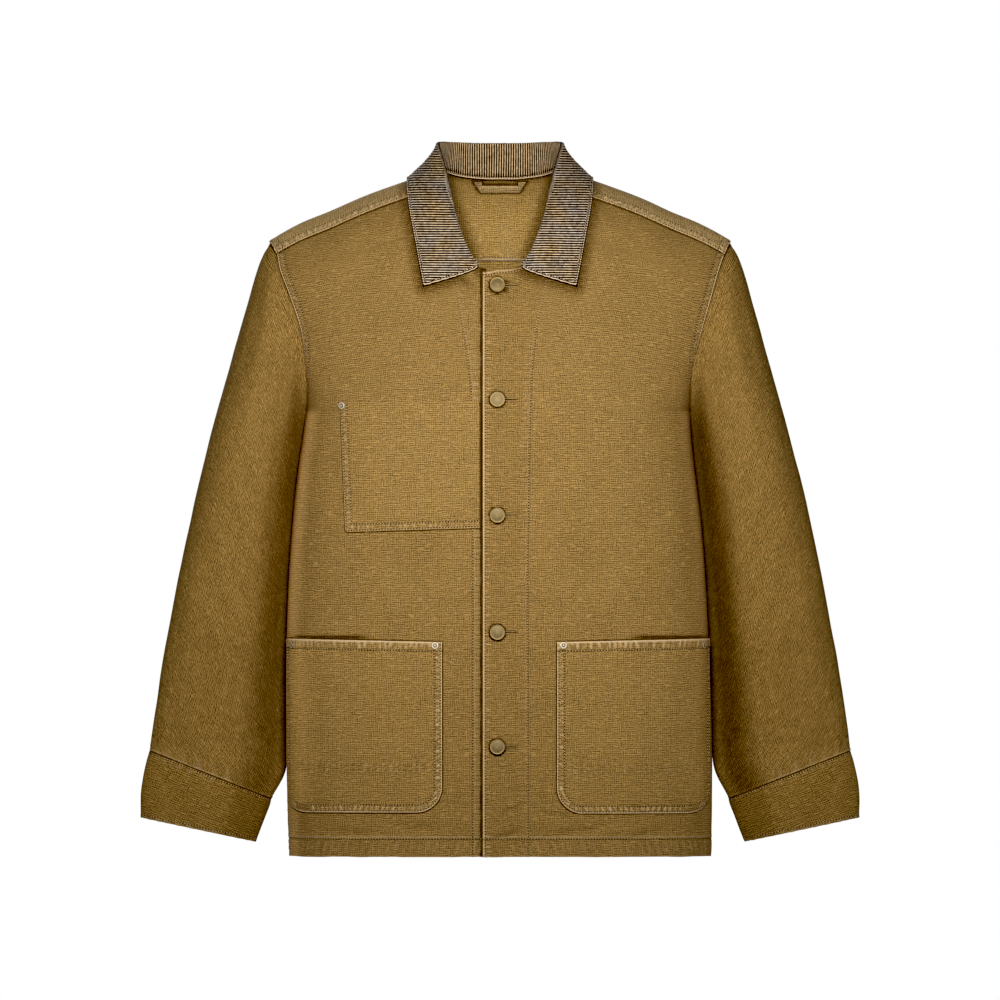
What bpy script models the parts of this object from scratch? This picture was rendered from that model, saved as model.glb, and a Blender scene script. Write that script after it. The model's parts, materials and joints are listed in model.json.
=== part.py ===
"""Chore jacket, buttoned and filled out as on a wearer, with nobody inside it.

Every cloth piece is a thin closed wall of its own.  +Z is up, the front faces -Y and
+X is the wearer's left.  The origin is the centre of the shoulders, level with the
back neck seam.  The sizes below are in millimetres and the model is in metres.
"""

import math

import bmesh
import bpy
import numpy as np
from mathutils import Vector

MM = 0.001

# Cloth and seams
CANVAS = 1.2  # one layer of canvas
HEM_WALL = 2.4  # the turned-up hem
COLLAR_WALL = 1.8  # corduroy over canvas
CUFF_WALL = 1.9
SEAM = 0.3  # gap between two pieces
STEP = 0.001  # how far apart slopes are read, as a share of a panel

# Body
SQUARE = 2.7  # how square the body's section is, 2 is an ellipse
DOME = 70.0  # drop in which the cloth rounds over the shoulder
HEM_Z = -722.0
HEM_TOP = -705.0
UNDERARM_Z = -246.0
SHOULDER_TIP_Z = -64.0
FORWARD_SEAM = 19.0  # drop of the front shoulder seam under the ridge
YOKE_Z = -84.0
YOKE_SAG = 20.0
ARMHOLE_FRONT = 48.0
ARMHOLE_BACK = 52.0
OVERLAP = 18.0  # each front reaches this far past the centre
UNDER_LAP = 1.6  # how far the lower front sits behind the upper one

# half widths on each side and depths to the front and the back, by height
BODY_COLUMNS = ("z", "right", "left", "front", "back")
BODY = (
    (-722, 225.0, 226.0, 106, 100),
    (-640, 228.0, 227.0, 106, 100),
    (-545, 229.0, 225.0, 104, 98),
    (-450, 227.0, 221.0, 102, 96),
    (-373, 222.6, 216.0, 102, 95),
    (-309, 216.0, 208.7, 103, 96),
    (-266, 209.7, 204.4, 103, 98),
    (-235, 206.0, 203.3, 102, 99),
    (-202, 207.6, 205.4, 99, 99),
    (-160, 213.0, 216.0, 92, 98),
    (-117, 227.0, 228.0, 82, 94),
    (-95, 235.4, 234.3, 77, 90),
    (-74, 240.5, 242.0, 73, 86),
    (-64, 247.0, 247.0, 71, 83),
)

# the shoulder's ridge, from the neck out
RIDGE_COLUMNS = ("x", "z")
RIDGE = (
    (0, 22.0),
    (40, 18.5),
    (64, 12.0),
    (100, 0.5),
    (145, -16.0),
    (185, -33.5),
    (215, -46.0),
    (247, -64.0),
    (275, -84.0),
)

# the fronts' neck edge, out from the centre
FRONT_NECK_COLUMNS = ("x", "z")
FRONT_NECK = (
    (0, -96.0),
    (12, -95.0),
    (24, -92.0),
    (36, -83.0),
    (45, -67.0),
    (52, -47.0),
    (57, -27.0),
    (62, -6.4),
)

NECK_CORNERS = (45.0, 62.0)  # columns of a front that the neck edge needs

# the yoke's neck edge, from the centre back over the ridge: turn is 0 on the ridge,
# 1 where the back hangs straight and -0.48 at the front shoulder seam
YOKE_NECK_COLUMNS = ("x", "turn")
FORWARD_TURN = -0.48
YOKE_NECK = (
    (0, 0.50),
    (16, 0.49),
    (30, 0.46),
    (42, 0.41),
    (51, 0.34),
    (58, 0.24),
    (62.5, 0.12),
    (64, 0.0),
    (64, -0.18),
    (63, -0.34),
    (62, FORWARD_TURN),
)

# soft vertical folds: where they are deepest, their end, half width and depth
FOLD_COLUMNS = ("x", "deep_z", "end_z", "half_width", "depth")
FRONT_FOLDS = (
    (-128, -722, -430, 30, 2.4),
    (-78, -722, -560, 24, 1.6),
    (66, -722, -520, 24, 1.6),
    (136, -722, -400, 30, 2.6),
)
BACK_FOLDS = (
    (-150, -722, -240, 34, 5.0),
    (-62, -722, -330, 30, 3.6),
    (38, -722, -260, 34, 4.4),
    (128, -722, -210, 36, 5.4),
)

# sleeve stations: outer point, height of the inner point, depth to the front and the
# back, and how far back the outer and inner point lie; the inner point is at the body
SLEEVE_COLUMNS = ("outer_x", "outer_z", "inner_z", "front", "back", "outer_y", "inner_y")
SLEEVE_CLEAR = 2.6  # between a sleeve and the body's side
SLEEVE = (
    (258.0, -86, -262, 60, 64, 1, 16),
    (269.5, -126, -282, 68, 70, 2, 24),
    (281.5, -170, -306, 70, 72, 4, 28),
    (293.5, -213, -332, 70, 72, 6, 28),
    (305.5, -256, -360, 69, 71, 7, 30),
    (316.5, -299, -390, 67, 70, 8, 30),
    (327.0, -342, -422, 64, 68, 8, 30),
    (336.0, -384, -454, 61, 65, 8, 30),
    (345.0, -427, -486, 57, 61, 7, 30),
    (353.0, -470, -518, 52, 55, 6, 30),
    (361.0, -512, -550, 46, 49, 5, 29),
    (367.5, -555, -582, 40, 42, 3, 27),
    (371.5, -584, -606, 34, 37, 1, 24),
)
# the same with the inner point's own x, below the body's touch
SLEEVE_END_COLUMNS = ("outer_x", "outer_z", "inner_x", *SLEEVE_COLUMNS[2:])
SLEEVE_END = (
    (373.2, -597.0, 230.0, -632.0, 29, 32, 0, 14),
    (374.6, -609.2, 244.9, -660.6, 26, 28, -2, 4),
)
CUFF = (
    (375.6, -609.8, 244.6, -661.3, 26, 28, -2, 4),
    (379.5, -625.0, 246.5, -668.0, 25, 26, -3, 3),
    (384.0, -652.0, 253.5, -686.0, 23, 24, -4, 1),
    (384.3, -681.0, 261.3, -707.0, 21, 22, -5, 0),
)
# a sleeve's drag folds: station, turn round the arm in degrees, length in stations,
# half width in degrees and depth
DRAG_COLUMNS = ("station", "turn", "length", "half_width", "depth")
DRAGS = (
    (6.5, 200, 2.2, 34, 4.0),
    (8.4, 160, 1.8, 30, 3.2),
    (9.8, 215, 2.0, 32, 3.0),
    (5.0, 300, 2.4, 30, 3.5),
    (11.5, 90, 1.6, 40, 1.6),
)

# the collar: its fold line, its outer edge and the way it faces, in plan, in degrees
COLLAR_COLUMNS = ("along", "fold_x", "fold_y", "fold_z", "edge_x", "edge_y", "edge_z", "faces")
FOLD_RADIUS = 2.2
COLLAR_CLEAR = 1.0  # between the leaf and what it lies on
COLLAR_END_X = 24.0
COLLAR = (
    (0.00, 0.0, 52.0, 41.0, 0.0, 84.0, -26.0, 90),
    (0.14, 27.0, 49.0, 41.3, 36.0, 81.0, -24.0, 80),
    (0.28, 52.0, 33.0, 42.0, 72.0, 58.0, -15.0, 50),
    (0.38, 64.0, 12.0, 42.0, 94.0, 26.0, -2.0, 18),
    (0.48, 66.5, -8.0, 39.0, 99.0, 2.0, 3.5, -5),
    (0.60, 60.5, -32.0, 18.0, 98.5, -28.0, -6.0, -25),
    (0.72, 53.5, -52.0, -10.0, 95.5, -56.0, -34.0, -45),
    (0.84, 45.5, -68.0, -42.0, 91.0, -72.0, -62.0, -65),
    (0.93, 36.0, -76.0, -68.0, 86.5, -78.0, -88.0, -80),
    (1.00, 25.5, -81.0, -88.5, 81.7, -83.0, -112.5, -88),
)

# pockets: edges and the rounding of the two lower corners
POCKET_COLUMNS = ("name", "side", "inner_x", "outer_share", "top_z", "bottom_z", "corner")
POCKET_CLEAR = 0.5
CHEST_POCKET = ("chest_pocket", -1, -20.5, None, -236.0, -376.0, 3.0)
CHEST_POCKET_OUTER = (172.3, 167.0)  # at its top and its bottom
LOWER_POCKETS = (
    ("pocket_right", -1, -62.5, 0.982, -488.5, -675.0, 30.0),
    ("pocket_left", 1, 60.5, 0.982, -488.5, -676.0, 30.0),
)

# hardware
BUTTON_X = -3.0
BUTTON_Z = (-111.0, -232.0, -356.0, -482.5, -604.5)
BUTTON_PROFILE = ((8.3, 4.3), (8.5, 3.7), (8.2, 3.2), (4.0, 2.7), (3.6, 0.0))
BUTTON_CROWN = ((0.0, 4.7), (3.6, 4.6), (6.6, 4.2), (7.3, 3.9), (7.8, 4.5))
RIVET_PROFILE = ((0.0, 1.9), (1.1, 1.8), (1.5, 1.1), (3.1, 1.0), (3.9, 0.5), (4.0, 0.0))
RIVET_COLUMNS = ("name", "x", "z")
RIVETS = (
    ("rivet_chest", -168.0, -240.5),
    ("rivet_right_inner", -69.2, -495.5),
    ("rivet_left_inner", 67.6, -495.0),
)
RIVET_OUTER_SHARE = 0.968
LOOP_HALF = 24.0
LOOP_BAND = 7.2
LOOP_DROP = (0.5, -7.5)
LOOP_CLEAR = 1.3
LOOP_WALL = 1.1

# how finely the cloth is divided
FRONT_COLUMNS = 15
BACK_COLUMNS = 23
UPPER_ROWS = (0.0, 0.22, 0.45, 0.66, 0.83, 0.95, 1.0)
LOWER_ROWS = (-290, -335, -376, -430, -488, -535, -585, -630, -676, HEM_TOP, HEM_TOP, HEM_Z)


def column(table, names, name):
    """One named column of a table."""
    return np.array([row[names.index(name)] for row in table], float)


def curve(x, xs, ys):
    """A smooth run through a table's rows, level beyond its ends."""
    slope = np.gradient(ys, xs)
    x = np.clip(x, xs[0], xs[-1])
    i = np.clip(np.searchsorted(xs, x, side="right") - 1, 0, len(xs) - 2)
    h = xs[i + 1] - xs[i]
    t = (x - xs[i]) / h
    a = ys[i] * (1 + 2 * t) * (1 - t) ** 2 + h * slope[i] * t * (1 - t) ** 2
    b = ys[i + 1] * t * t * (3 - 2 * t) - h * slope[i + 1] * t * t * (1 - t)
    return a + b


def body(name, z):
    return curve(z, column(BODY, BODY_COLUMNS, "z"), column(BODY, BODY_COLUMNS, name))


def half_width(z, side):
    """Half of the body's width on the left (side over 0) or the right."""
    return np.where(np.asarray(side) > 0, body("left", z), body("right", z))


def ridge(x):
    return curve(
        np.abs(x), column(RIDGE, RIDGE_COLUMNS, "x"), column(RIDGE, RIDGE_COLUMNS, "z")
    )


def armhole(z, face):
    """Half of the armhole's depth at a height, nothing below the underarm."""
    middle = (SHOULDER_TIP_Z + UNDERARM_Z) / 2
    reach = (SHOULDER_TIP_Z - UNDERARM_Z) / 2
    inside = np.clip(1 - ((np.asarray(z) - middle) / reach) ** 2, 0, 1)
    return np.where(face < 0, ARMHOLE_FRONT, ARMHOLE_BACK) * np.sqrt(inside)


def folds(x, z, face):
    """How far the cloth's own soft folds move it in or out."""
    moved = np.zeros(np.broadcast(x, z).shape)
    for at, deep, end, half, depth in FRONT_FOLDS if face < 0 else BACK_FOLDS:
        across = np.clip(np.abs(x - at) / half, 0, 1)
        along = np.clip((end - z) / (end - deep), 0, 1)
        moved = moved + depth * np.cos(across * math.pi / 2) ** 2 * along**1.5
    return moved


def depth(x, z, face):
    """The y of the body's outer side, in front (face under 0) or behind."""
    share = np.clip(np.abs(x) / half_width(z, x), 0, 1)
    round_in = (1 - share**SQUARE) ** (1 / SQUARE)
    drop = np.clip(ridge(x) - z, 0, DOME)
    over = np.sqrt(1 - (1 - drop / DOME) ** 2)
    hole = armhole(z, face)
    full = body("front", z) if face < 0 else body("back", z)
    hung = (full + folds(x, z, face)) * round_in * over
    return face * (hung + hole * (1 - round_in) ** 2)


def turn_drop(turn):
    """Drop below the ridge for a turn over it: 1 is where the cloth hangs straight."""
    turn = np.abs(turn)
    over = DOME * (1 - np.cos(np.clip(turn, 0, 1) * math.pi / 2))
    return over + np.clip(turn - 1, 0, None) * DOME * math.pi / 2


def drop_turn(drop):
    over = np.arccos(1 - np.clip(drop, 0, DOME) / DOME) / (math.pi / 2)
    return over + np.clip(drop - DOME, 0, None) / (DOME * math.pi / 2)


def over_shoulder(share, turn):
    """A point at a share of the half width and a turn over the ridge."""
    share, turn = np.broadcast_arrays(np.asarray(share, float), np.asarray(turn, float))
    z = np.full(share.shape, -50.0)
    for _ in range(30):
        x = share * half_width(z, share)
        z = ridge(x) - turn_drop(turn)
    y = np.where(turn < 0, depth(x, z, -1), depth(x, z, 1))
    return np.stack([x, y, z], -1)


def outward(points, along_u, along_v, middle):
    """Unit normals from two slopes, turned away from the middle."""
    normal = np.cross(along_u, along_v)
    normal /= np.maximum(np.linalg.norm(normal, axis=-1, keepdims=True), 1e-12)
    flip = np.sum(normal * (points - middle), -1, keepdims=True) < 0
    return np.where(flip, -normal, normal)


def body_middle(points):
    x, z = points[..., 0], points[..., 2]
    return np.stack([0.5 * x, 0 * x, np.minimum(z, -90.0)], -1)


def panel(form, u, v):
    """Points and normals of a form at every pair of a column u and a row v."""
    uu, vv = np.meshgrid(u, v)
    points = form(uu, vv)
    ahead, behind = np.clip(uu + STEP / 10, 0, 1), np.clip(uu - STEP / 10, 0, 1)
    lower, upper = np.clip(vv + STEP, 0, 1), np.clip(vv - STEP, 0, 1)
    along_u = form(ahead, vv) - form(behind, vv)
    along_v = form(uu, lower) - form(uu, upper)
    return points, outward(points, along_u, along_v, body_middle(points))


def spread(count, start_share):
    """Shares of the width that divide a panel evenly, closer where it turns."""
    share = 1 - (1 - start_share) * np.linspace(1, 0, 600) ** 2
    x, y = share * 225.0, 100.0 * (1 - np.abs(share) ** SQUARE) ** (1 / SQUARE)
    step = np.hypot(np.diff(x), np.diff(y))
    angle = np.abs(np.diff(np.unwrap(np.arctan2(np.diff(y), np.diff(x)))))
    weight = step + 26 * np.append(angle, angle[-1])
    gone = np.append(0, np.cumsum(weight)) / weight.sum()
    return np.interp(np.linspace(0, 1, count), gone, share)


def front_top(x):
    """Height of a front's upper edge: the neck edge, then the shoulder seam."""
    neck = curve(
        np.abs(x),
        column(FRONT_NECK, FRONT_NECK_COLUMNS, "x"),
        column(FRONT_NECK, FRONT_NECK_COLUMNS, "z"),
    )
    return np.where(np.abs(x) < 62, neck, ridge(x) - FORWARD_SEAM - SEAM)


def front_columns():
    """Where a front's columns stand: 0 is its edge, 1 the side."""
    start = OVERLAP / 225.0
    evenly = (spread(FRONT_COLUMNS, -start) + start) / (1 + start)
    corners = [(x + OVERLAP) / (247.0 + OVERLAP) for x in NECK_CORNERS]
    clear = [g for g in evenly if min(abs(g - corner) for corner in corners) > 0.02]
    return np.array(sorted(clear + corners))


def front_x(g, z, side):
    """Across a front at one height: 0 is its front edge, 1 the side."""
    edge = -OVERLAP * side
    return edge + (side * half_width(z, side) - edge) * g


def lap(x, z, side):
    """How far the lower front lies behind the upper one, near the centre."""
    if side > 0:
        return np.zeros(np.shape(x))
    t = np.clip((x + 52.0) / 32.0, 0, 1)
    hem = np.clip((HEM_TOP + 5.0 - z) / 4.0, 0, 1)
    return (UNDER_LAP + (HEM_WALL - CANVAS) * hem) * t * t * (3 - 2 * t)


def front_form(side):
    """A front as a form: u from the front edge to the side, v from top to hem."""

    def form(u, v):
        z = np.full(np.shape(u), -60.0)
        for _ in range(30):
            z = front_top(front_x(u, z, side))
        # v runs through the upper rows to the underarm, then evenly to the hem
        split = 0.3
        upper = z + (UNDERARM_Z - z) * np.clip(v / split, 0, 1)
        lower = (HEM_Z - UNDERARM_Z) * np.clip((v - split) / (1 - split), 0, 1)
        z = upper + lower
        x = front_x(u, z, side)
        y = depth(x, z, -1) + lap(x, z, side) - np.where(u > 1 - 1e-9, 0.2, 0)
        return np.stack([x, y, z], -1)

    return form


def row_shares(upper):
    """Rows of a panel as shares of its height: upper rows, then heights below."""
    split = 0.3
    lower = [(z - UNDERARM_Z) / (HEM_Z - UNDERARM_Z) for z in LOWER_ROWS]
    return np.array([split * v for v in upper] + [split + (1 - split) * v for v in lower])


def yoke_seam_z(x):
    return YOKE_Z - YOKE_SAG * (x / 240.0) ** 2


def back_form(u, v):
    """The back: u from one side to the other, v from the yoke seam to the hem."""
    share = 2 * np.asarray(u) - 1
    z = np.full(np.shape(share), -90.0)
    for _ in range(20):
        z = yoke_seam_z(share * half_width(z, share)) - SEAM
    split = 0.3
    upper = z + (UNDERARM_Z - z) * np.clip(v / split, 0, 1)
    z = upper + (HEM_Z - UNDERARM_Z) * np.clip((v - split) / (1 - split), 0, 1)
    x = share * half_width(z, share)
    y = depth(x, z, 1) + np.where(np.abs(share) > 1 - 1e-9, 0.2, 0)
    return np.stack([x, y, z], -1)


def yoke_edges():
    """Upper and lower edge of the yoke, as shares of the half width and turns."""
    neck = [(x / 247.0, turn) for x, turn in YOKE_NECK]
    top_row = front_form(1)(front_columns(), np.zeros(len(front_columns())))
    top_row = top_row[top_row[:, 0] > NECK_CORNERS[-1] + 1]
    shares = top_row[:, 0] / half_width(top_row[:, 2], 1)
    top = neck + [(share, FORWARD_TURN) for share in shares]
    lower_share = list(np.linspace(0, 0.42, len(neck)))
    lower_share += list(0.42 + 0.58 * (shares - 0.26) / 0.74)
    side = [(*t, b) for t, b in zip(top, lower_share)]
    whole = [(-s, q, -b) for s, q, b in side[:0:-1]] + side
    return np.array(whole)


def yoke_form(u, v):
    """The yoke: u along it from right to left, v from its upper to its lower edge."""
    edges = yoke_edges()
    at = np.clip(u, 0, 1) * (len(edges) - 1)
    index = np.arange(len(edges))
    top_share = np.interp(at, index, edges[:, 0])
    top_turn = np.interp(at, index, edges[:, 1])
    low_share = np.interp(at, index, edges[:, 2])
    z = np.full(np.shape(low_share), -90.0)
    for _ in range(20):
        x = low_share * half_width(z, low_share)
        z = yoke_seam_z(x)
    low_turn = drop_turn(ridge(x) - z)
    share = top_share + (low_share - top_share) * v
    turn = top_turn + (low_turn - top_turn) * v
    return over_shoulder(share, turn)


def collection_for(name):
    made = bpy.data.collections.new(name)
    bpy.context.scene.collection.children.link(made)
    return made


def material(name, colour, roughness, metallic=0.0):
    made = bpy.data.materials.new(name)
    made.use_nodes = True
    shader = made.node_tree.nodes["Principled BSDF"]
    shader.inputs["Base Color"].default_value = (*colour, 1.0)
    shader.inputs["Roughness"].default_value = roughness
    shader.inputs["Metallic"].default_value = metallic
    made.diffuse_color = (*colour, 1.0)
    return made


def add_object(name, mesh, look, holder, parts):
    made = bpy.data.objects.new(name, mesh)
    mesh.materials.append(look)
    made.parent = holder
    parts.objects.link(made)
    return made


def wall(name, outer, inner, look, holder, parts, closed=False):
    """A closed wall between an outer and an inner grid of points."""
    rows, cols = outer.shape[:2]
    made = bmesh.new()
    skins = []
    for grid in (outer, inner):
        skins.append([[made.verts.new(p * MM) for p in row] for row in grid])
    around = cols if closed else cols - 1
    for skin in skins:
        for r in range(rows - 1):
            for c in range(around):
                d = (c + 1) % cols
                made.faces.new((skin[r][c], skin[r][d], skin[r + 1][d], skin[r + 1][c]))
    for r in (0, rows - 1):
        for c in range(around):
            d = (c + 1) % cols
            made.faces.new((skins[0][r][c], skins[0][r][d], skins[1][r][d], skins[1][r][c]))
    if not closed:
        for c in (0, cols - 1):
            for r in range(rows - 1):
                made.faces.new(
                    (skins[0][r][c], skins[0][r + 1][c], skins[1][r + 1][c], skins[1][r][c])
                )
    bmesh.ops.triangulate(made, faces=made.faces[:], quad_method="FIXED")
    bmesh.ops.recalc_face_normals(made, faces=made.faces[:])
    if made.calc_volume(signed=True) < 0:
        bmesh.ops.reverse_faces(made, faces=made.faces[:])
    mesh = bpy.data.meshes.new(name)
    made.to_mesh(mesh)
    made.free()
    mesh.shade_smooth()
    mesh.set_sharp_from_angle(angle=math.radians(50))
    return add_object(name, mesh, look, holder, parts)


def hem_walls(points):
    """Wall thickness by point: doubled where the hem is turned up."""
    rows = points.shape[0]
    thick = np.full(points.shape[:2] + (1,), CANVAS)
    thick[rows - 2 :] = HEM_WALL
    return thick


def separate_hem_rows(points):
    """The two rows on the hem's upper line part by half a millimetre."""
    points[-3, :, 2] += 0.25
    points[-2, :, 2] -= 0.25
    return points


def build_front(name, side, look, holder, parts):
    points, normals = panel(front_form(side), front_columns(), row_shares(UPPER_ROWS))
    points = separate_hem_rows(points)
    inner = points - normals * hem_walls(points)
    wall(name, points, inner, look, holder, parts)
    return points


def build_back(look, holder, parts):
    half = spread((BACK_COLUMNS + 1) // 2, 0.0)
    u = (np.append(-half[:0:-1], half) + 1) / 2
    points, normals = panel(back_form, u, row_shares(UPPER_ROWS))
    points = separate_hem_rows(points)
    wall("back", points, points - normals * hem_walls(points), look, holder, parts)
    return points


def build_yoke(look, holder, parts):
    u = np.linspace(0, 1, len(yoke_edges()))
    v = np.array([0.0, 0.13, 0.28, 0.44, 0.62, 0.8, 1.0])
    points, normals = panel(yoke_form, u, v)
    wall("yoke", points, points - normals * CANVAS, look, holder, parts)
    return points


def armhole_loop(side, front, back, yoke):
    """The body's points round an armhole: down the front, up the back, over the top."""
    last = len(UPPER_ROWS)
    front_edge = front[:last, -1]
    back_edge = back[:last, -1 if side > 0 else 0]
    yoke_edge = yoke[:, -1 if side > 0 else 0]
    return np.concatenate([front_edge, back_edge[-2::-1], yoke_edge[-2:0:-1]])


def loop_angles(loop):
    """The turn of each armhole point: 0 at the shoulder's tip, a quarter in front."""
    middle = (SHOULDER_TIP_Z + UNDERARM_Z) / 2
    reach = (SHOULDER_TIP_Z - UNDERARM_Z) / 2
    up = (loop[:, 2] - middle) / reach
    wide = np.where(loop[:, 1] < 0, ARMHOLE_FRONT, ARMHOLE_BACK)
    return np.unwrap(np.arctan2(-loop[:, 1] / wide, up))


def sleeve_stations(side):
    """Outer and inner point, depths and both ends' y of each ring below the first."""
    rings = []
    for outer_x, outer_z, inner_z, *depths, inner_y in SLEEVE:
        behind = (1 - (inner_y / float(body("back", inner_z))) ** SQUARE) ** (1 / SQUARE)
        inner_x = float(half_width(inner_z, side)) * behind + SLEEVE_CLEAR
        rings.append((outer_x, outer_z, inner_x, inner_z, *depths, inner_y))
    return rings + list(SLEEVE_END)


def ring(station, angles, side, drag=0.0):
    """A ring of a sleeve or cuff, with the depth of its folds taken in."""
    outer_x, outer_z, inner_x, inner_z, front, back, outer_y, inner_y = station
    up, round_y = np.cos(angles), np.sin(angles)
    x = (outer_x + inner_x) / 2 + (outer_x - inner_x) / 2 * up
    z = (outer_z + inner_z) / 2 + (outer_z - inner_z) / 2 * up
    y = (outer_y + inner_y) / 2 + (outer_y - inner_y) / 2 * up
    deep = np.where(round_y > 0, front, back) - drag
    return np.stack([side * x, y - deep * round_y, z], -1)


def drags(index, angles):
    """Depth of the drag folds at one station."""
    turn = np.degrees(angles)
    taken = np.zeros(len(angles))
    for station, at, length, half, deep in DRAGS:
        off = (turn - at + 180) % 360 - 180
        near = np.clip(1 - ((index - station) / length) ** 2, 0, 1)
        taken += deep * near * np.clip(1 - (off / half) ** 2, 0, 1)
    return taken


def ring_normals(grid):
    """Normals of a tube's rings, away from their middles."""
    around = np.roll(grid, -1, axis=1) - np.roll(grid, 1, axis=1)
    along = np.gradient(grid, axis=0)
    return outward(grid, around, along, grid.mean(axis=1, keepdims=True))


def build_sleeve(name, side, loop, look, holder, parts):
    """A set-in sleeve: it starts on the armhole and closes to a tube."""
    angles = loop_angles(loop)
    first = loop.copy()
    first[:, 0] += side * (0.4 + 0.7 * np.clip(np.cos(angles), 0, 1) ** 2)
    middle = (SHOULDER_TIP_Z + UNDERARM_Z) / 2
    size = np.hypot(first[:, 1], first[:, 2] - middle)
    shrink = 1 - (SEAM + 0.15) / size
    first[:, 1] *= shrink
    first[:, 2] = middle + (first[:, 2] - middle) * shrink
    tip_x, low_x = 247.0, float(half_width(UNDERARM_Z, side))
    plain = (tip_x, SHOULDER_TIP_Z, low_x, UNDERARM_Z, ARMHOLE_FRONT, ARMHOLE_BACK, 0, 0)
    bend = first - ring(plain, angles, side)
    rings = [first]
    kept = (0.62, 0.32, 0.12, 0.03)
    for index, station in enumerate(sleeve_stations(side)):
        made = ring(station, angles, side, drags(index + 1, angles))
        if index < len(kept):
            made = made + kept[index] * bend
        rings.append(made)
    grid = np.array(rings)
    inner = grid - ring_normals(grid) * CANVAS
    wall(name, grid, inner, look, holder, parts, closed=True)
    return angles


def build_cuff(name, side, angles, look, holder, parts):
    grid = np.array([ring(station, angles, side) for station in CUFF])
    inner = grid - ring_normals(grid) * CUFF_WALL
    wall(name, grid, inner, look, holder, parts, closed=True)


def body_samples():
    """Points and normals of the body round the neck, for what lies on it."""
    share = np.linspace(-0.62, 0.62, 111)
    turn = np.linspace(-2.3, 1.9, 190)
    ss, tt = np.meshgrid(share, turn)
    points = over_shoulder(ss, tt)
    along_s = over_shoulder(ss + 1e-3, tt) - over_shoulder(ss - 1e-3, tt)
    along_t = over_shoulder(ss, tt + 1e-3) - over_shoulder(ss, tt - 1e-3)
    normals = outward(points, along_s, along_t, body_middle(points))
    return points.reshape(-1, 3), normals.reshape(-1, 3)


def settle(points, clear, samples, snap=False):
    """Points moved out of the body until they clear it, or onto that clearance."""
    spots, normals = samples
    flat = points.reshape(-1, 3).copy()
    for i, point in enumerate(flat):
        nearest = np.argmin(((spots - point) ** 2).sum(axis=1))
        gap = (point - spots[nearest]) @ normals[nearest]
        if snap or gap < clear:
            flat[i] = point + normals[nearest] * (clear - gap)
    return flat.reshape(points.shape)


def neck_line(side, front, yoke):
    """The edge the collar stands on, from the centre back to the collar's end."""
    middle = yoke.shape[1] // 2
    reach = len(YOKE_NECK)
    top = yoke[0, middle : middle + reach] if side > 0 else yoke[0, middle::-1][:reach]
    near = front[0, np.abs(front[0, :, 0]) < 61][::-1]
    near = near[near[:, 0] * side > COLLAR_END_X]
    end = np.array([COLLAR_END_X * side, 0, 0])
    end[2] = front_top(COLLAR_END_X)
    end[1] = depth(end[0], end[2], -1)
    return np.concatenate([top, near, end[None]])


def along_line(line, shares):
    """Points at shares of a line's length."""
    gone = np.append(0, np.cumsum(np.linalg.norm(np.diff(line, axis=0), axis=1)))
    return np.stack([np.interp(shares * gone[-1], gone, line[:, k]) for k in range(3)], -1)


def unit(vectors):
    return vectors / np.linalg.norm(vectors, axis=-1, keepdims=True)


def collar_half(side, line, shares, samples):
    """Sections of half the collar: stand, fold and leaf, from the neck seam out."""
    table = {name: column(COLLAR, COLLAR_COLUMNS, name) for name in COLLAR_COLUMNS}
    read = {name: curve(shares, table["along"], table[name]) for name in COLLAR_COLUMNS}
    seam = along_line(line, shares) + np.array([0, 0, SEAM + 1.0])
    fold = np.stack([side * read["fold_x"], read["fold_y"], read["fold_z"]], -1)
    edge = np.stack([side * read["edge_x"], read["edge_y"], read["edge_z"]], -1)
    edge = settle(edge, COLLAR_WALL + COLLAR_CLEAR, samples, snap=True)
    faces = np.radians(read["faces"])
    faces = np.stack([side * np.cos(faces), np.sin(faces), 0 * faces], -1)
    up = unit(fold - seam)
    out = unit(faces - up * np.sum(faces * up, -1, keepdims=True))
    centre = fold - up * FOLD_RADIUS
    rows = []
    start = centre - out * FOLD_RADIUS
    for t in (0.0, 0.5):
        rows.append(seam + (start - seam) * t)
    for angle in (0, 45, 90, 135, 180):
        a = math.radians(angle)
        rows.append(centre + FOLD_RADIUS * (up * math.sin(a) - out * math.cos(a)))
    lift = centre + out * (FOLD_RADIUS + 3.0) - up * 10.0
    for t in (0.22, 0.45, 0.7, 1.0):
        begin = rows[6]
        bent = begin * (1 - t) ** 2 + lift * 2 * t * (1 - t) + edge * t * t
        rows.append(bent)
    grid = np.array(rows)
    grid[7:] = settle(grid[7:], COLLAR_WALL + COLLAR_CLEAR, samples)
    return grid


def grid_normals(grid):
    along = np.gradient(grid, axis=0)
    across = np.gradient(grid, axis=1)
    return unit(np.cross(across, along))


def build_collar(look, holder, parts, fronts, yoke, samples):
    shares = np.linspace(0, 1, 22)
    left = collar_half(1, neck_line(1, fronts[1], yoke), shares, samples)
    right = collar_half(-1, neck_line(-1, fronts[-1], yoke), shares, samples)
    grid = np.concatenate([right[:, :0:-1], left], axis=1)
    normals = grid_normals(grid)
    top = grid[4, grid.shape[1] // 2]
    if normals[4, grid.shape[1] // 2] @ (top - grid[:, grid.shape[1] // 2].mean(axis=0)) < 0:
        normals = -normals
    wall("collar", grid, grid - normals * COLLAR_WALL, look, holder, parts)


def pocket_columns(side, g_list, inner_x, outer_g, corner, z):
    """Columns of a pocket: its edges, its corners and the panel's own between them."""
    edge = -OVERLAP * side
    width = float(half_width(z, side))
    inner_g = (inner_x - edge) / (side * width - edge)
    corner_g = corner / (width + OVERLAP)
    picked = [inner_g, outer_g]
    for share in (0.12, 0.4, 0.72, 1.0):
        picked.append(inner_g + corner_g * share)
        picked.append(outer_g - corner_g * share * 0.42)
    for g in g_list:
        if inner_g + corner_g * 1.1 < g < outer_g - corner_g * 0.5:
            picked.append(g)
    return np.array(sorted(picked)), inner_g, corner_g


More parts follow.
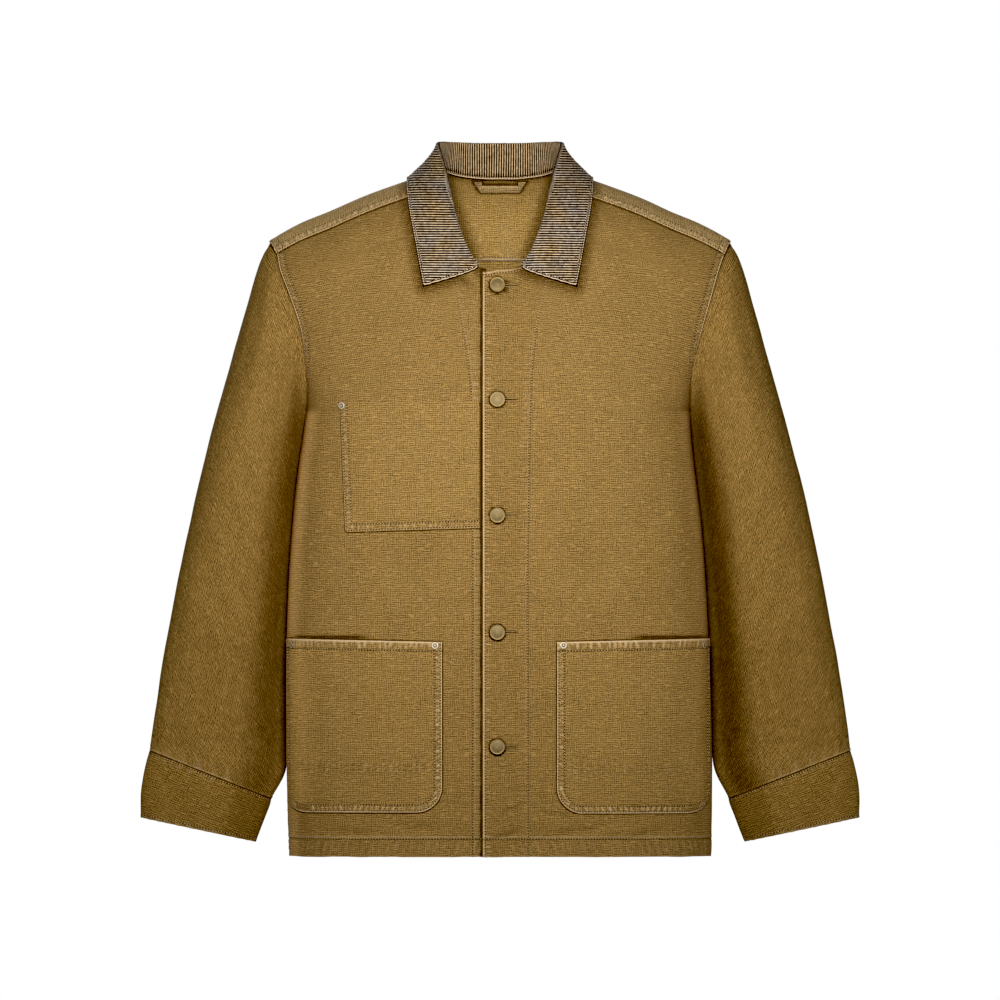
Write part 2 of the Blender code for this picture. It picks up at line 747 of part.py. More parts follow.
def build_pocket(row, g_list, look, holder, parts):
    """A lower patch pocket, its points the front's own moved out."""
    name, side, inner_x, outer_share, top_z, bottom_z, corner = row
    width = float(half_width((top_z + bottom_z) / 2, side))
    outer_g = (outer_share * width + OVERLAP) / (width + OVERLAP)
    g, inner_g, corner_g = pocket_columns(
        side, g_list, inner_x, outer_g, corner, (top_z + bottom_z) / 2
    )
    near = np.clip(1 - (g - inner_g) / corner_g, 0, 1)
    far = np.clip(1 - (outer_g - g) / (corner_g * 0.42), 0, 1)
    rise = corner * (1 - np.sqrt(1 - np.maximum(near, far) ** 2))
    low = bottom_z + rise
    rows = np.array([0.0, 0.08, 0.25, 0.45, 0.65, 0.85, 1.0])

    def form(u, v):
        z = top_z + (np.interp(u, g, low) - top_z) * v
        x = front_x(u, z, side)
        return np.stack([x, depth(x, z, -1) + lap(x, z, side), z], -1)

    points, normals = panel(form, g, rows)
    outer = points + normals * (POCKET_CLEAR + CANVAS)
    inner = points + normals * POCKET_CLEAR
    wall(name, outer, inner, look, holder, parts)


def build_chest_pocket(look, holder, parts):
    """The breast pocket, from its riveted edge to the front edge's facing."""
    name, side, inner_x, _, top_z, bottom_z, _ = CHEST_POCKET
    count = 9
    rows = np.array([0.0, 0.08, 0.35, 0.65, 1.0])

    def form(u, v):
        z = top_z + (bottom_z - top_z) * v
        far = CHEST_POCKET_OUTER[0] + (CHEST_POCKET_OUTER[1] - CHEST_POCKET_OUTER[0]) * v
        x = inner_x + (-far - inner_x) * u
        return np.stack([x, depth(x, z, -1) + lap(x, z, side), z], -1)

    points, normals = panel(form, np.linspace(0, 1, count), rows)
    outer = points + normals * (POCKET_CLEAR + CANVAS)
    inner = points + normals * POCKET_CLEAR
    wall(name, outer, inner, look, holder, parts)


def build_loop(look, holder, parts):
    """The hanger loop: a folded band sewn in under the collar, inside the yoke."""
    half, band = LOOP_HALF + LOOP_BAND / 2, LOOP_BAND
    high, low = LOOP_DROP
    low_in = low + band / 2
    low_out = low - band / 2
    xs = np.linspace(-1, 1, 7)
    outer_line = [(-half, high)] + [(x * half, low_out) for x in xs] + [(half, high)]
    inner_half = half - band
    inner_line = [(-inner_half, high)] + [(x * inner_half, low_in) for x in xs]
    inner_line.append((inner_half, high))
    grid = []
    for line in (outer_line, inner_line):
        grid.append([surface_at(x, z, 1) for x, z in line])
    points, normals = np.array(grid)[:, :, 0], np.array(grid)[:, :, 1]
    outer = points - normals * (CANVAS + LOOP_CLEAR)
    wall("hanger_loop", outer, outer - normals * LOOP_WALL, look, holder, parts)


def turned(name, profile, segments):
    """A turned solid about +Z from a closed profile of radius and height."""
    made = bmesh.new()
    verts = [made.verts.new((r * MM, 0, z * MM)) for r, z in profile]
    for a, b in zip(verts, verts[1:]):
        made.edges.new((a, b))
    bmesh.ops.spin(
        made,
        geom=made.verts[:] + made.edges[:],
        cent=(0, 0, 0),
        axis=(0, 0, 1),
        angle=2 * math.pi,
        steps=segments,
        use_merge=True,
    )
    bmesh.ops.remove_doubles(made, verts=made.verts[:], dist=1e-6)
    bmesh.ops.recalc_face_normals(made, faces=made.faces[:])
    if made.calc_volume(signed=True) < 0:
        bmesh.ops.reverse_faces(made, faces=made.faces[:])
    mesh = bpy.data.meshes.new(name)
    made.to_mesh(mesh)
    made.free()
    mesh.shade_smooth()
    mesh.set_sharp_from_angle(angle=math.radians(40))
    return mesh


def seat(made, point, normal, lift):
    """Stands a turned piece on the cloth, its axis along the cloth's normal."""
    made.location = Vector(point + normal * lift) * MM
    made.rotation_mode = "QUATERNION"
    made.rotation_quaternion = Vector(normal).to_track_quat("Z", "Y")


def surface_at(x, z, face=-1):
    """Point and normal of the body's outer side, in front or behind."""
    point = np.array([x, float(depth(x, z, face)), z])
    side = 1 if x > 0 else -1
    near_x = x - side * 0.02
    along_x = np.array([near_x - x, float(depth(near_x, z, face)) - point[1], 0])
    along_z = np.array([0, float(depth(x, z - 0.5, face)) - point[1], -0.5])
    middle = body_middle(point)
    return point, outward(point, along_x, along_z, middle)


def build_hardware(brass, dull, holder, parts):
    profile = BUTTON_CROWN + BUTTON_PROFILE + ((0.0, 0.0),)
    head = turned("button", profile, 14)
    for number, z in enumerate(BUTTON_Z, 1):
        point, normal = surface_at(BUTTON_X, z)
        mesh = head if number == 1 else head.copy()
        seat(add_object(f"button_{number}", mesh, brass, holder, parts), point, normal, SEAM)
    small = turned("rivet", RIVET_PROFILE + ((0.0, 0.0),), 12)
    spots = list(RIVETS)
    for side, label in ((-1, "right"), (1, "left")):
        z = -496.5
        x = side * RIVET_OUTER_SHARE * float(half_width(z, side))
        spots.append((f"rivet_{label}_outer", x, z))
    for name, x, z in spots:
        point, normal = surface_at(x, z)
        mesh = small.copy()
        lift = POCKET_CLEAR + CANVAS + SEAM
        seat(add_object(name, mesh, dull, holder, parts), point, normal, lift)


for old in list(bpy.data.objects):
    bpy.data.objects.remove(old, do_unlink=True)

jacket = collection_for("chore_jacket")
hold = bpy.data.objects.new("chore_jacket_frame", None)
jacket.objects.link(hold)

canvas_look = material("canvas", (0.30, 0.185, 0.06), 0.9)
inside_look = material("canvas_yoke", (0.31, 0.19, 0.065), 0.9)
cuff_look = material("canvas_cuff", (0.29, 0.175, 0.055), 0.9)
pocket_look = material("canvas_pocket", (0.30, 0.18, 0.058), 0.9)
cord_look = material("corduroy", (0.26, 0.17, 0.095), 0.95)
loop_look = material("canvas_loop", (0.32, 0.2, 0.07), 0.9)
brass_look = material("antique_brass", (0.36, 0.25, 0.13), 0.38, 1.0)
rivet_look = material("dull_brass", (0.62, 0.52, 0.38), 0.42, 1.0)

left_front = build_front("front_left", 1, canvas_look, hold, jacket)
right_front = build_front("front_right", -1, canvas_look, hold, jacket)
back_points = build_back(canvas_look, hold, jacket)
yoke_points = build_yoke(inside_look, hold, jacket)
front_points = {1: left_front, -1: right_front}
for way, label in ((1, "left"), (-1, "right")):
    rim = armhole_loop(way, front_points[way], back_points, yoke_points)
    turns = build_sleeve(f"sleeve_{label}", way, rim, canvas_look, hold, jacket)
    build_cuff(f"cuff_{label}", way, turns, cuff_look, hold, jacket)
near_neck = body_samples()
build_collar(cord_look, hold, jacket, front_points, yoke_points, near_neck)
for pocket in LOWER_POCKETS:
    build_pocket(pocket, front_columns(), pocket_look, hold, jacket)
build_chest_pocket(pocket_look, hold, jacket)
build_loop(loop_look, hold, jacket)
build_hardware(brass_look, rivet_look, hold, jacket)
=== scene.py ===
import json
import math

import bpy
import numpy as np
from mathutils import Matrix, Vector

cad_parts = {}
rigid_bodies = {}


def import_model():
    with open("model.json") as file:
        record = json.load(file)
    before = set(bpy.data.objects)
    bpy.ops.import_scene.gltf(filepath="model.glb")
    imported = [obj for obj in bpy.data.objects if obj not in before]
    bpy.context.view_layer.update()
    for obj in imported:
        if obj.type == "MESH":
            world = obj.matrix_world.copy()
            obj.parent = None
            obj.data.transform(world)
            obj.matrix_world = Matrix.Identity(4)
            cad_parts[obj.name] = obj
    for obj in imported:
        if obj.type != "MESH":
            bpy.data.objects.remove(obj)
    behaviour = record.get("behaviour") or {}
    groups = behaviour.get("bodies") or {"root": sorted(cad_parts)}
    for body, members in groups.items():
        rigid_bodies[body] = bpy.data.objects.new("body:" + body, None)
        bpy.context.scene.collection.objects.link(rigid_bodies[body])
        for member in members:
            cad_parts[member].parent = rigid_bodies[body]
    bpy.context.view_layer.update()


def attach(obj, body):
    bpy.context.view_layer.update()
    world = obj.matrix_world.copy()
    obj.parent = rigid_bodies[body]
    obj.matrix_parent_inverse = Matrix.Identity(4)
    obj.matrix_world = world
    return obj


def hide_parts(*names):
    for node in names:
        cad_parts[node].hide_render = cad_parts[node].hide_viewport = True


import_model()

# The two fronts, each one piece of washed cotton canvas with a sewn-on facing.  The
# left one laps over the right one.  Both are sewn to the yoke at the forward shoulder
# seam and to the back at the side, with a turned-up hem and a double-sewn armhole.
MM = 0.001
CANVAS = 1.2
HEM_WALL = 2.4
SQUARE = 2.7
DOME = 70.0
HEM_Z = -722.0
UNDERARM_Z = -246.0
SHOULDER_TIP_Z = -64.0
SHOULDER_HALF = 247.0
ARMHOLE_MIDDLE_Z = (SHOULDER_TIP_Z + UNDERARM_Z) / 2
ARMHOLE_REACH = (SHOULDER_TIP_Z - UNDERARM_Z) / 2
FORWARD_SEAM = 19.0
ARMHOLE_FRONT = 48.0
ARMHOLE_BACK = 52.0
OVERLAP = 18.0
UNDER_LAP = 1.6
RIM = 1.0
SEAM = 0.3
NECK_HALF = 62.0
SIDES = ((1, "left"), (-1, "right"))
BODY_COLUMNS = ("z", "right", "left", "front", "back")
BODY = (
    (-722, 225.0, 226.0, 106, 100),
    (-640, 228.0, 227.0, 106, 100),
    (-545, 229.0, 225.0, 104, 98),
    (-450, 227.0, 221.0, 102, 96),
    (-373, 222.6, 216.0, 102, 95),
    (-309, 216.0, 208.7, 103, 96),
    (-266, 209.7, 204.4, 103, 98),
    (-235, 206.0, 203.3, 102, 99),
    (-202, 207.6, 205.4, 99, 99),
    (-160, 213.0, 216.0, 92, 98),
    (-117, 227.0, 228.0, 82, 94),
    (-95, 235.4, 234.3, 77, 90),
    (-74, 240.5, 242.0, 73, 86),
    (-64, 247.0, 247.0, 71, 83),
)
RIDGE = (
    (0, 22.0),
    (40, 18.5),
    (64, 12.0),
    (100, 0.5),
    (145, -16.0),
    (185, -33.5),
    (215, -46.0),
    (247, -64.0),
    (275, -84.0),
)
FRONT_NECK = (
    (0, -96.0),
    (12, -95.0),
    (24, -92.0),
    (36, -83.0),
    (45, -67.0),
    (52, -47.0),
    (57, -27.0),
    (62, -6.4),
)
NECK_TILT = 4.0
# the line where each facing is sewn down, by height
FACING = {
    1: (
        (-722, 29.9), (-405, 29.5), (-300, 31.0), (-248, 32.3), (-213, 33.6), (-194, 34.9), (-172, 37.5),
        (-150, 40.2), (-128, 45.7), (-106, 48.9), (-80, 55.0), (-40, 66.0), (0, 74.0),
    ),
    -1: (
        (-722, 28.9), (-260, 28.9), (-221, 31.0), (-187, 34.2), (-145, 41.7), (-108, 46.5),
        (-80, 53.0), (-40, 65.0), (0, 73.0),
    ),
}
# long soft folds: x, deepest z, end z, half width, depth
FRONT_FOLDS = (
    (-128, -722, -430, 30, 2.4),
    (-78, -722, -560, 24, 1.6),
    (66, -722, -520, 24, 1.6),
    (136, -722, -400, 30, 2.6),
)
BACK_FOLDS = (
    (-150, -722, -240, 34, 5.0),
    (-62, -722, -330, 30, 3.6),
    (38, -722, -260, 34, 4.4),
    (128, -722, -210, 36, 5.4),
)
# creases pressed in by wear: x and z of both ends, half width and depth
FRONT_CREASES = (
    (0, -676, 31, -663, 2.4, 1.7),
    (-14, -703, 30, -691, 2.8, 1.9),
    (33, -671, 84, -681, 3.2, 1.3),
    (6, -652, 29, -647, 2.6, 1.1),
    (40, -696, 130, -688, 4.2, 1.2),
    (90, -702, 196, -692, 4.7, 1.3),
    (-196, -690, -110, -698, 4.7, 1.3),
    (-120, -684, -44, -692, 4.2, 1.2),
    (-208, -520, -150, -566, 9.0, 0.9),
    (-204, -300, -140, -345, 14.0, 1.0),
    (-196, -250, -120, -262, 12.0, 0.8),
    (-180, -430, -70, -452, 16.0, 0.7),
    (200, -262, 120, -300, 13.0, 1.0),
    (206, -350, 130, -395, 14.0, 0.9),
    (196, -455, 90, -470, 12.0, 0.6),
    (60, -150, 150, -205, 16.0, 0.8),
    (-70, -150, -160, -190, 16.0, 0.8),
    (170, -90, 205, -190, 14.0, 1.1),
    (-172, -90, -206, -190, 14.0, 1.1),
    (110, -40, 100, -120, 16.0, 0.8),
    (-105, -40, -92, -118, 15.0, 0.8),
)
BACK_CREASES = (
    (-196, -262, -96, -330, 13.0, 1.8),
    (198, -254, 110, -318, 12.0, 1.6),
    (-150, -420, -40, -440, 14.0, 1.2),
    (160, -470, 30, -452, 15.0, 1.3),
    (-205, -560, -110, -590, 10.0, 1.4),
    (204, -600, 96, -618, 11.0, 1.2),
    (-60, -690, 60, -684, 5.0, 0.8),
    (-186, -684, -90, -694, 5.0, 0.8),
    (80, -694, 180, -686, 5.0, 0.8),
    (-150, -120, -176, -230, 14.0, 1.8),
    (148, -124, 178, -232, 14.0, 1.7),
    (-30, -118, -26, -300, 16.0, 1.3),
    (46, -120, 40, -270, 14.0, 1.1),
)
FRONT_STITCH = 2.3
NECK_STITCH = 3.2
ARMHOLE_ROWS = (1.9, 8.8)
HEM_STITCH = 19.4
# painted shade of the gap over the lower pockets: its height and both ends
POCKET_MOUTH = (-489.6, 134.0, 232.0)
# how much painted light makes the cloth lighter along each side, by side
SIDE_PAINTED_LIGHT = {1: 0.55, -1: 1.5}
# spacing of a panel's points, and the closer rows beside its edges and seams
FRONT_STEP = 2.1
FRONT_ACROSS = 2.35
UPPER_RUN = 150.0
UNDER_EDGE = (1.0, 3.0)
CLOSE_UNDER = ((4.6, 3.4, 2.4, 1.6, 0.8), (0.8, 1.8, 3.0, 4.4, 6.4))
CLOSE_EDGE = (0.5, 1.1, 1.8, 2.3, 2.8, 3.6, 4.8, 6.4, 8.4)
CLOSE_LINE = (0.5, 1.2, 2.2, 3.8, 5.8)
CLOSE_ARM = (0.5, 1.2, 1.9, 2.6, 3.5, 4.6, 5.7, 6.8, 7.9, 8.8, 9.7, 11.0, 13.0)
CLOSE_TOP = (0.0, 0.6, 1.3, 2.1, 3.2, 4.8, 7.0, 10.0)
CLOSE_HEM = (0.0, 0.6, 1.3, 2.4, 4.2, 6.4, 8.6, 10.8, 13.0, 15.2, 17.2, 18.5, 19.4, 20.4, 21.2, 22.4, 24.0)


def read(table, x, column=1):
    """A smooth run through a column of a table's rows, level beyond its ends."""
    table = np.array(table, float)
    xs, ys = table[:, 0], table[:, column]
    slope = np.gradient(ys, xs)
    x = np.clip(x, xs[0], xs[-1])
    i = np.clip(np.searchsorted(xs, x, side="right") - 1, 0, len(xs) - 2)
    h = xs[i + 1] - xs[i]
    t = (x - xs[i]) / h
    a = ys[i] * (1 + 2 * t) * (1 - t) ** 2 + h * slope[i] * t * (1 - t) ** 2
    b = ys[i + 1] * t * t * (3 - 2 * t) - h * slope[i + 1] * t * t * (1 - t)
    return a + b


def smooth(t):
    t = np.clip(t, 0, 1)
    return t * t * (3 - 2 * t)


def unit(vectors):
    return vectors / np.linalg.norm(vectors, axis=-1, keepdims=True)


def groove(d, at, half=0.7):
    return np.exp(-(((d - at) / half) ** 2))


def crease(off, half, along, end):
    """A soft trough with a lower ridge beside it, fading out towards both ends."""
    fade = smooth(along / 0.35) * smooth((1 - along) / end)
    return fade * (groove(off, 0, half) - 0.7 * groove(off, 1.9 * half, 1.4 * half))


def body(name, z):
    return read(BODY, z, BODY_COLUMNS.index(name))


def half_width(z, side):
    return np.where(np.asarray(side) > 0, body("left", z), body("right", z))


def ridge(x):
    return read(RIDGE, np.abs(x))


def armhole(z, face):
    inside = np.clip(1 - ((np.asarray(z) - ARMHOLE_MIDDLE_Z) / ARMHOLE_REACH) ** 2, 0, 1)
    return np.where(face < 0, ARMHOLE_FRONT, ARMHOLE_BACK) * np.sqrt(inside)


def folds(x, z, face):
    """The long soft folds and the short pressed creases of the body."""
    moved = np.zeros(np.broadcast(x, z).shape)
    for at, deep, end, half, deepest in FRONT_FOLDS if face < 0 else BACK_FOLDS:
        beside = np.clip(np.abs(x - at) / half, 0, 1)
        along = np.clip((end - z) / (end - deep), 0, 1)
        moved = moved + deepest * np.cos(beside * math.pi / 2) ** 2 * along**1.5
    for x0, z0, x1, z1, half, deepest in FRONT_CREASES if face < 0 else BACK_CREASES:
        run = math.hypot(x1 - x0, z1 - z0)
        ux, uz = (x1 - x0) / run, (z1 - z0) / run
        along = ((x - x0) * ux + (z - z0) * uz) / run
        off = (z - z0) * ux - (x - x0) * uz + 0.05 * run * np.sin(along * 4.0)
        moved = moved - deepest * crease(off, half, along, 0.45)
    return moved


def depth(x, z, face):
    """The y of the body's outer side, in front (face under 0) or behind."""
    share = np.clip(np.abs(x) / half_width(z, x), 0, 1)
    round_in = (1 - share**SQUARE) ** (1 / SQUARE)
    drop = np.clip(ridge(x) - z, 0, DOME)
    over = np.sqrt(1 - (1 - drop / DOME) ** 2)
    full = body("front" if face < 0 else "back", z)
    hung = (full + folds(x, z, face)) * round_in * over
    return face * (hung + armhole(z, face) * (1 - round_in) ** 2)


def front_top(x):
    seam = ridge(x) - FORWARD_SEAM - SEAM
    return np.where(np.abs(x) < NECK_HALF, read(FRONT_NECK, np.abs(x)), seam)


def lap(x, z, side):
    """How far the lower front lies behind the upper one, near the centre."""
    if side > 0:
        return np.zeros(np.shape(x))
    low = np.clip((-700.0 - z) / 4.0, 0, 1)
    near = (UNDER_LAP + (HEM_WALL - CANVAS) * low) * smooth((x + 52.0) / 32.0)
    return near + 1.7 * smooth((x + 25.0) / 6.0)


def front_points(side, g, share, height):
    """Points of a front: g runs from its front edge to the side, and a row stands at a
    share of the top edge's height plus a height."""
    edge = -OVERLAP * side
    z = np.full(np.broadcast(g, share).shape, -60.0)
    for _ in range(24):
        x = edge + (side * half_width(z, side) - edge) * g
        z = share * (front_top(x) - NECK_TILT * smooth(-x * side / OVERLAP) * (side > 0)) + height
    return np.stack([x, depth(x, z, -1) + lap(x, z, side), z], -1)


def panel_rows(step):
    """Rows of a body panel as (share of the top edge's height, height), and how many of
    them lie beside the armhole."""
    rows = [(1.0, -d) for d in CLOSE_TOP]
    count = int(UPPER_RUN / step)
    for t in np.linspace(0, 1, count + 1)[1:]:
        rows.append((1 - t, UNDERARM_Z * t - CLOSE_TOP[-1] * (1 - t)))
    end = HEM_Z + CLOSE_HEM[-1]
    low = list(np.linspace(UNDERARM_Z, end, int((UNDERARM_Z - end) / step))[1:])
    rows += [(0.0, z) for z in low + [HEM_Z + d for d in CLOSE_HEM[-2::-1]]]
    return np.array(rows), len(CLOSE_TOP) + count


def line_lengths(points):
    """Length along one line up to each of its points."""
    return np.append(0, np.cumsum(np.linalg.norm(np.diff(points, axis=0), axis=1)))


def read_line(points, lengths, at):
    return np.stack([np.interp(at, lengths, points[:, k]) for k in range(3)], -1)


def run_lengths(points):
    """Length along each row of a grid."""
    step = np.linalg.norm(np.diff(points, axis=1), axis=-1)
    return np.concatenate([np.zeros((len(points), 1)), np.cumsum(step, axis=1)], axis=1)


def lengths_down(points):
    """Length down each column of a grid."""
    return run_lengths(points.transpose(1, 0, 2)).T


def read_rows(at, lengths, values):
    """Values read at places in each row of a grid."""
    values = np.broadcast_to(values, lengths.shape)
    return np.array([np.interp(*row) for row in zip(at, lengths, values)])


def sewn_across(skin, normals, places, at, part=slice(None)):
    """A row of sewing at one place in each row: its line and the way the cloth faces."""
    at = np.broadcast_to(at, len(skin))
    both = np.concatenate([skin, normals], axis=-1)
    both = np.stack([read_rows(at, places, both[..., k]) for k in range(6)], -1)[part]
    return both[:, :3], both[:, 3:]


def sewn_down(skin, normals, heights, at, part=slice(None)):
    """A row of sewing at one height or length in each column."""
    return sewn_across(skin.transpose(1, 0, 2), normals.transpose(1, 0, 2), heights.T, at, part)


def stations(marks, step):
    """Places across a panel: close beside each mark and even from mark to mark."""
    placed = []
    for k, (at, before, after) in enumerate(marks):
        placed += [at - d for d in sorted(before, reverse=True)]
        placed.append(at)
        placed += [at + d for d in after]
        if k + 1 < len(marks):
            low, high = placed[-1], marks[k + 1][0] - max(marks[k + 1][1], default=0)
            count = max(2, int(round(float(np.mean(high - low)) / step)))
            placed += [low + (high - low) * i / count for i in range(1, count)]
    return np.stack(placed, axis=-1)


def grid_normals(grid, tube=False):
    """Unit normals of a grid of points."""
    along = np.gradient(grid, axis=0)
    if tube:
        across = np.roll(grid, -1, axis=1) - np.roll(grid, 1, axis=1)
    else:
        across = np.gradient(grid, axis=1)
    normal = np.cross(across, along)
    return normal / np.maximum(np.linalg.norm(normal, axis=-1, keepdims=True), 1e-12)


def uneven(along, pitch, seed):
    """The bars that a washed seam draws up, no two of the same width or height."""
    chance = np.random.default_rng(seed)
    low, high = float(np.min(along)) - 3 * pitch, float(np.max(along)) + 3 * pitch
    at = low + np.cumsum(pitch * chance.uniform(0.3, 0.75, int(4 * (high - low) / pitch)))
    wave = np.cos(np.pi * np.interp(along, at, np.arange(len(at))))
    return wave * np.interp(along, at, chance.uniform(0.25, 1.0, len(at)))


def crumple(a, b, size, seed):
    """Soft unevenness over a cloth, in a range of -1 to 1."""
    chance = np.random.default_rng(seed)
    net = chance.uniform(-1, 1, (64, 64))
    p, q = np.asarray(a) / size + 200, np.asarray(b) / size + 200
    i, j = np.floor(p).astype(int), np.floor(q).astype(int)
    s, t = smooth(p - i), smooth(q - j)
    i, j, k, m = i % 64, j % 64, (i + 1) % 64, (j + 1) % 64
    return (net[i, j] * (1 - s) + net[k, j] * s) * (1 - t) + (net[i, m] * (1 - s) + net[k, m] * s) * t


def soft(a, b, seed, *waves):
    """Soft unevenness of several sizes, each wave a height and a size."""
    return sum(high * crumple(a, b, size, seed + k) for k, (high, size) in enumerate(waves))


def between(d, low, high):
    """One between two lines and nothing outside them, with soft ends."""
    edge = 0.22 * (high - low)
    return smooth((d - low) / edge) * smooth((high - d) / edge)


def edge_wear_and_painted_light(d, light=0.9):
    """Pale along an edge's rim, partly wear and partly painted highlight, with painted shade right under it.
    """
    return light * groove(d, 1.15, 0.7) - 1.2 * smooth((0.5 - d) / 0.5)


def bar_wear(bars, light=0.6):
    """Pale on the drawn-up bars of a seam and darker between them."""
    return light * np.clip(bars, 0, 1) - 0.5 * light * np.clip(-bars, 0, 1)


def double_seam(d, along, rows, pitch, seed, half, deep, rise):
    """A flat seam between two rows of sewing: how it lifts, and its drawn-up bars."""
    bars = uneven(along, pitch, seed) * between(d, *rows)
    return rise * bars - deep * sum(groove(d, row, half) for row in rows), bars


def hem_seam(high, along, pitch, seed, rise):
    """The turned-up hem: how it lifts at its row of sewing, and its bars."""
    bars = uneven(along, pitch, seed) * between(high, 1.5, HEM_STITCH - 0.5)
    sewn_in = 0.45 * groove(high, HEM_STITCH, 0.75) - 0.3 * groove(high, HEM_STITCH + 1.7, 0.9)
    return rise * bars - sewn_in, bars


def hang(grid, normals, lift, along, high, seed):
    """A body panel's outer skin, with its hem line a little uneven, and its wall."""
    skin = grid + normals * lift[..., None]
    skin[..., 2] += 0.45 * crumple(along, 0 * along, 24, seed) * smooth((14 - high) / 14)
    return skin, np.where(high[..., None] < 18, HEM_WALL, CANVAS)


def mark_points(mesh, name, values):
    mesh.attributes.new(name, "FLOAT", "POINT").data.foreach_set("value", values)


def inside_out(corners):
    """Whether triangles, given by their corners, hold less than no volume."""
    return np.einsum("ij,ij->", corners[:, 0], np.cross(corners[:, 1], corners[:, 2])) < 0


def new_piece(name, mesh, *looks):
    for look in looks:
        mesh.materials.append(look)
    piece = bpy.data.objects.new(name, mesh)
    bpy.context.scene.collection.objects.link(piece)
    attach(piece, "root")
    return piece


def cloth(name, skin, lining, look, laid, wear_and_painted_light, tube=False, inside=None, inside_wear_and_painted_light=None):
    """One closed cloth wall: a fine outer skin, a coarser inner one and the edges.  Laid
    is each point's place on the flat cut piece, and the next argument gives each point a
    value from -1 to 1: pale wear and some painted light above 0, painted shade below it."""
    rows, cols = skin.shape[:2]
    low_rows, low_cols = lining.shape[:2]
    wrap, low_wrap = (cols, low_cols) if tube else (cols - 1, low_cols - 1)

    def at(r, c):
        return r * cols + c % cols

    def under(r, c):
        return rows * cols + r * low_cols + c % low_cols

    def corners(count, around):
        r, c = (n.ravel() for n in np.indices((count - 1, around)))
        return (r, c), (r, c + 1), (r + 1, c + 1), (r + 1, c)

    ring = corners(rows, wrap)
    quads = np.stack([at(*place) for place in ring], -1)
    quad_uv = np.stack([laid[place] for place in ring], 1)
    row_of = np.round(np.linspace(0, rows - 1, low_rows)).astype(int)
    col_of = np.round(np.linspace(0, wrap, low_wrap + 1)).astype(int)
    ring = corners(low_rows, low_wrap)
    ring = (ring[0], *ring[:0:-1])
    inner = np.stack([under(*place) for place in ring], -1)
    inner_uv = np.stack([laid[row_of[r], col_of[c]] for r, c in ring], 1)
    faces = np.concatenate([quads, inner]).tolist()
    uvs = list(np.concatenate([quad_uv, inner_uv]).reshape(-1, 2))

    def edge(start, end, low_start, low_end):
        """Closes the wall between a step of the skin's edge and one of the lining's."""
        a, b, p, q = at(*start), at(*end), under(*low_start), under(*low_end)
        made = [a, b, q, p] if p != q else [a, b, p]
        faces.append(made)
        uvs.extend([laid[start], laid[end], laid[end], laid[start]][: len(made)])

    near_col = np.round(np.arange(wrap + 1) * low_wrap / wrap).astype(int)
    for c, (p, q) in enumerate(zip(near_col, near_col[1:])):
        edge((0, c + 1), (0, c), (0, q), (0, p))
        edge((rows - 1, c), (rows - 1, c + 1), (low_rows - 1, p), (low_rows - 1, q))
    near_row = np.round(np.arange(rows) * (low_rows - 1) / (rows - 1)).astype(int)
    for r, (p, q) in enumerate(zip(near_row, near_row[1:])):
        if not tube:
            edge((r, 0), (r + 1, 0), (p, 0), (q, 0))
            edge((r + 1, cols - 1), (r, cols - 1), (q, low_cols - 1), (p, low_cols - 1))
    points = np.concatenate([skin.reshape(-1, 3), lining.reshape(-1, 3)]) * MM
    mesh = bpy.data.meshes.new(name)
    mesh.from_pydata(points.tolist(), [], faces)
    mesh.uv_layers.new(name="cut").data.foreach_set("uv", (np.array(uvs) * MM).ravel())
    inside_wear_and_painted_light = np.zeros(lining.size // 3) if inside_wear_and_painted_light is None else inside_wear_and_painted_light.ravel()
    mark_points(mesh, "wear_and_painted_light", np.concatenate([wear_and_painted_light.ravel(), inside_wear_and_painted_light]))
    mesh.update()
    fans = [face[:3] for face in faces] + np.concatenate([quads, inner])[:, [0, 2, 3]].tolist()
    if inside_out(points[np.array(fans)]):
        mesh.flip_normals()
    mesh.shade_smooth()
    mesh.set_sharp_from_angle(angle=math.radians(58))
    if not inside:
        return new_piece(name, mesh, look)
    piece = new_piece(name, mesh, look, inside)
    slots = np.zeros(len(mesh.polygons), int)
    slots[len(quads) : len(quads) + len(inner)] = 1
    mesh.polygons.foreach_set("material_index", slots)
    return piece


def paint_light_on(piece, share):
    """Paints light on a panel's outer skin: lighter by a share at each of its points."""
    values = np.zeros(len(piece.data.vertices))
    values[: share.size] = share.ravel()
    mark_points(piece.data, "painted_light", values)


def fewer(count, coarse):
    return np.round(np.linspace(0, count - 1, max(2, (count - 1) // coarse + 1))).astype(int)


def lining_of(grid, normals, thick, coarse, tube=False):
    """The inner skin's points, on fewer rows and columns than the outer skin's."""
    rows, cols = grid.shape[:2]
    picked = fewer(cols, coarse)
    if tube:
        picked = np.round(np.linspace(0, cols, cols // coarse + 1)).astype(int)[:-1]
    return (grid - normals * thick)[fewer(rows, coarse)][:, picked]


# one stitch, as rings along it: place, lift and thickness
STITCH_RINGS = (
    (-1.0, -0.1, 1.1),
    (-0.52, 0.0, 1.3),
    (-0.4, 0.3, 1.0),
    (0.4, 0.3, 1.0),
    (0.52, 0.0, 1.3),
    (1.0, -0.1, 1.1),
)
STITCH_SIDES = 4
STITCH_PITCH = 3.1


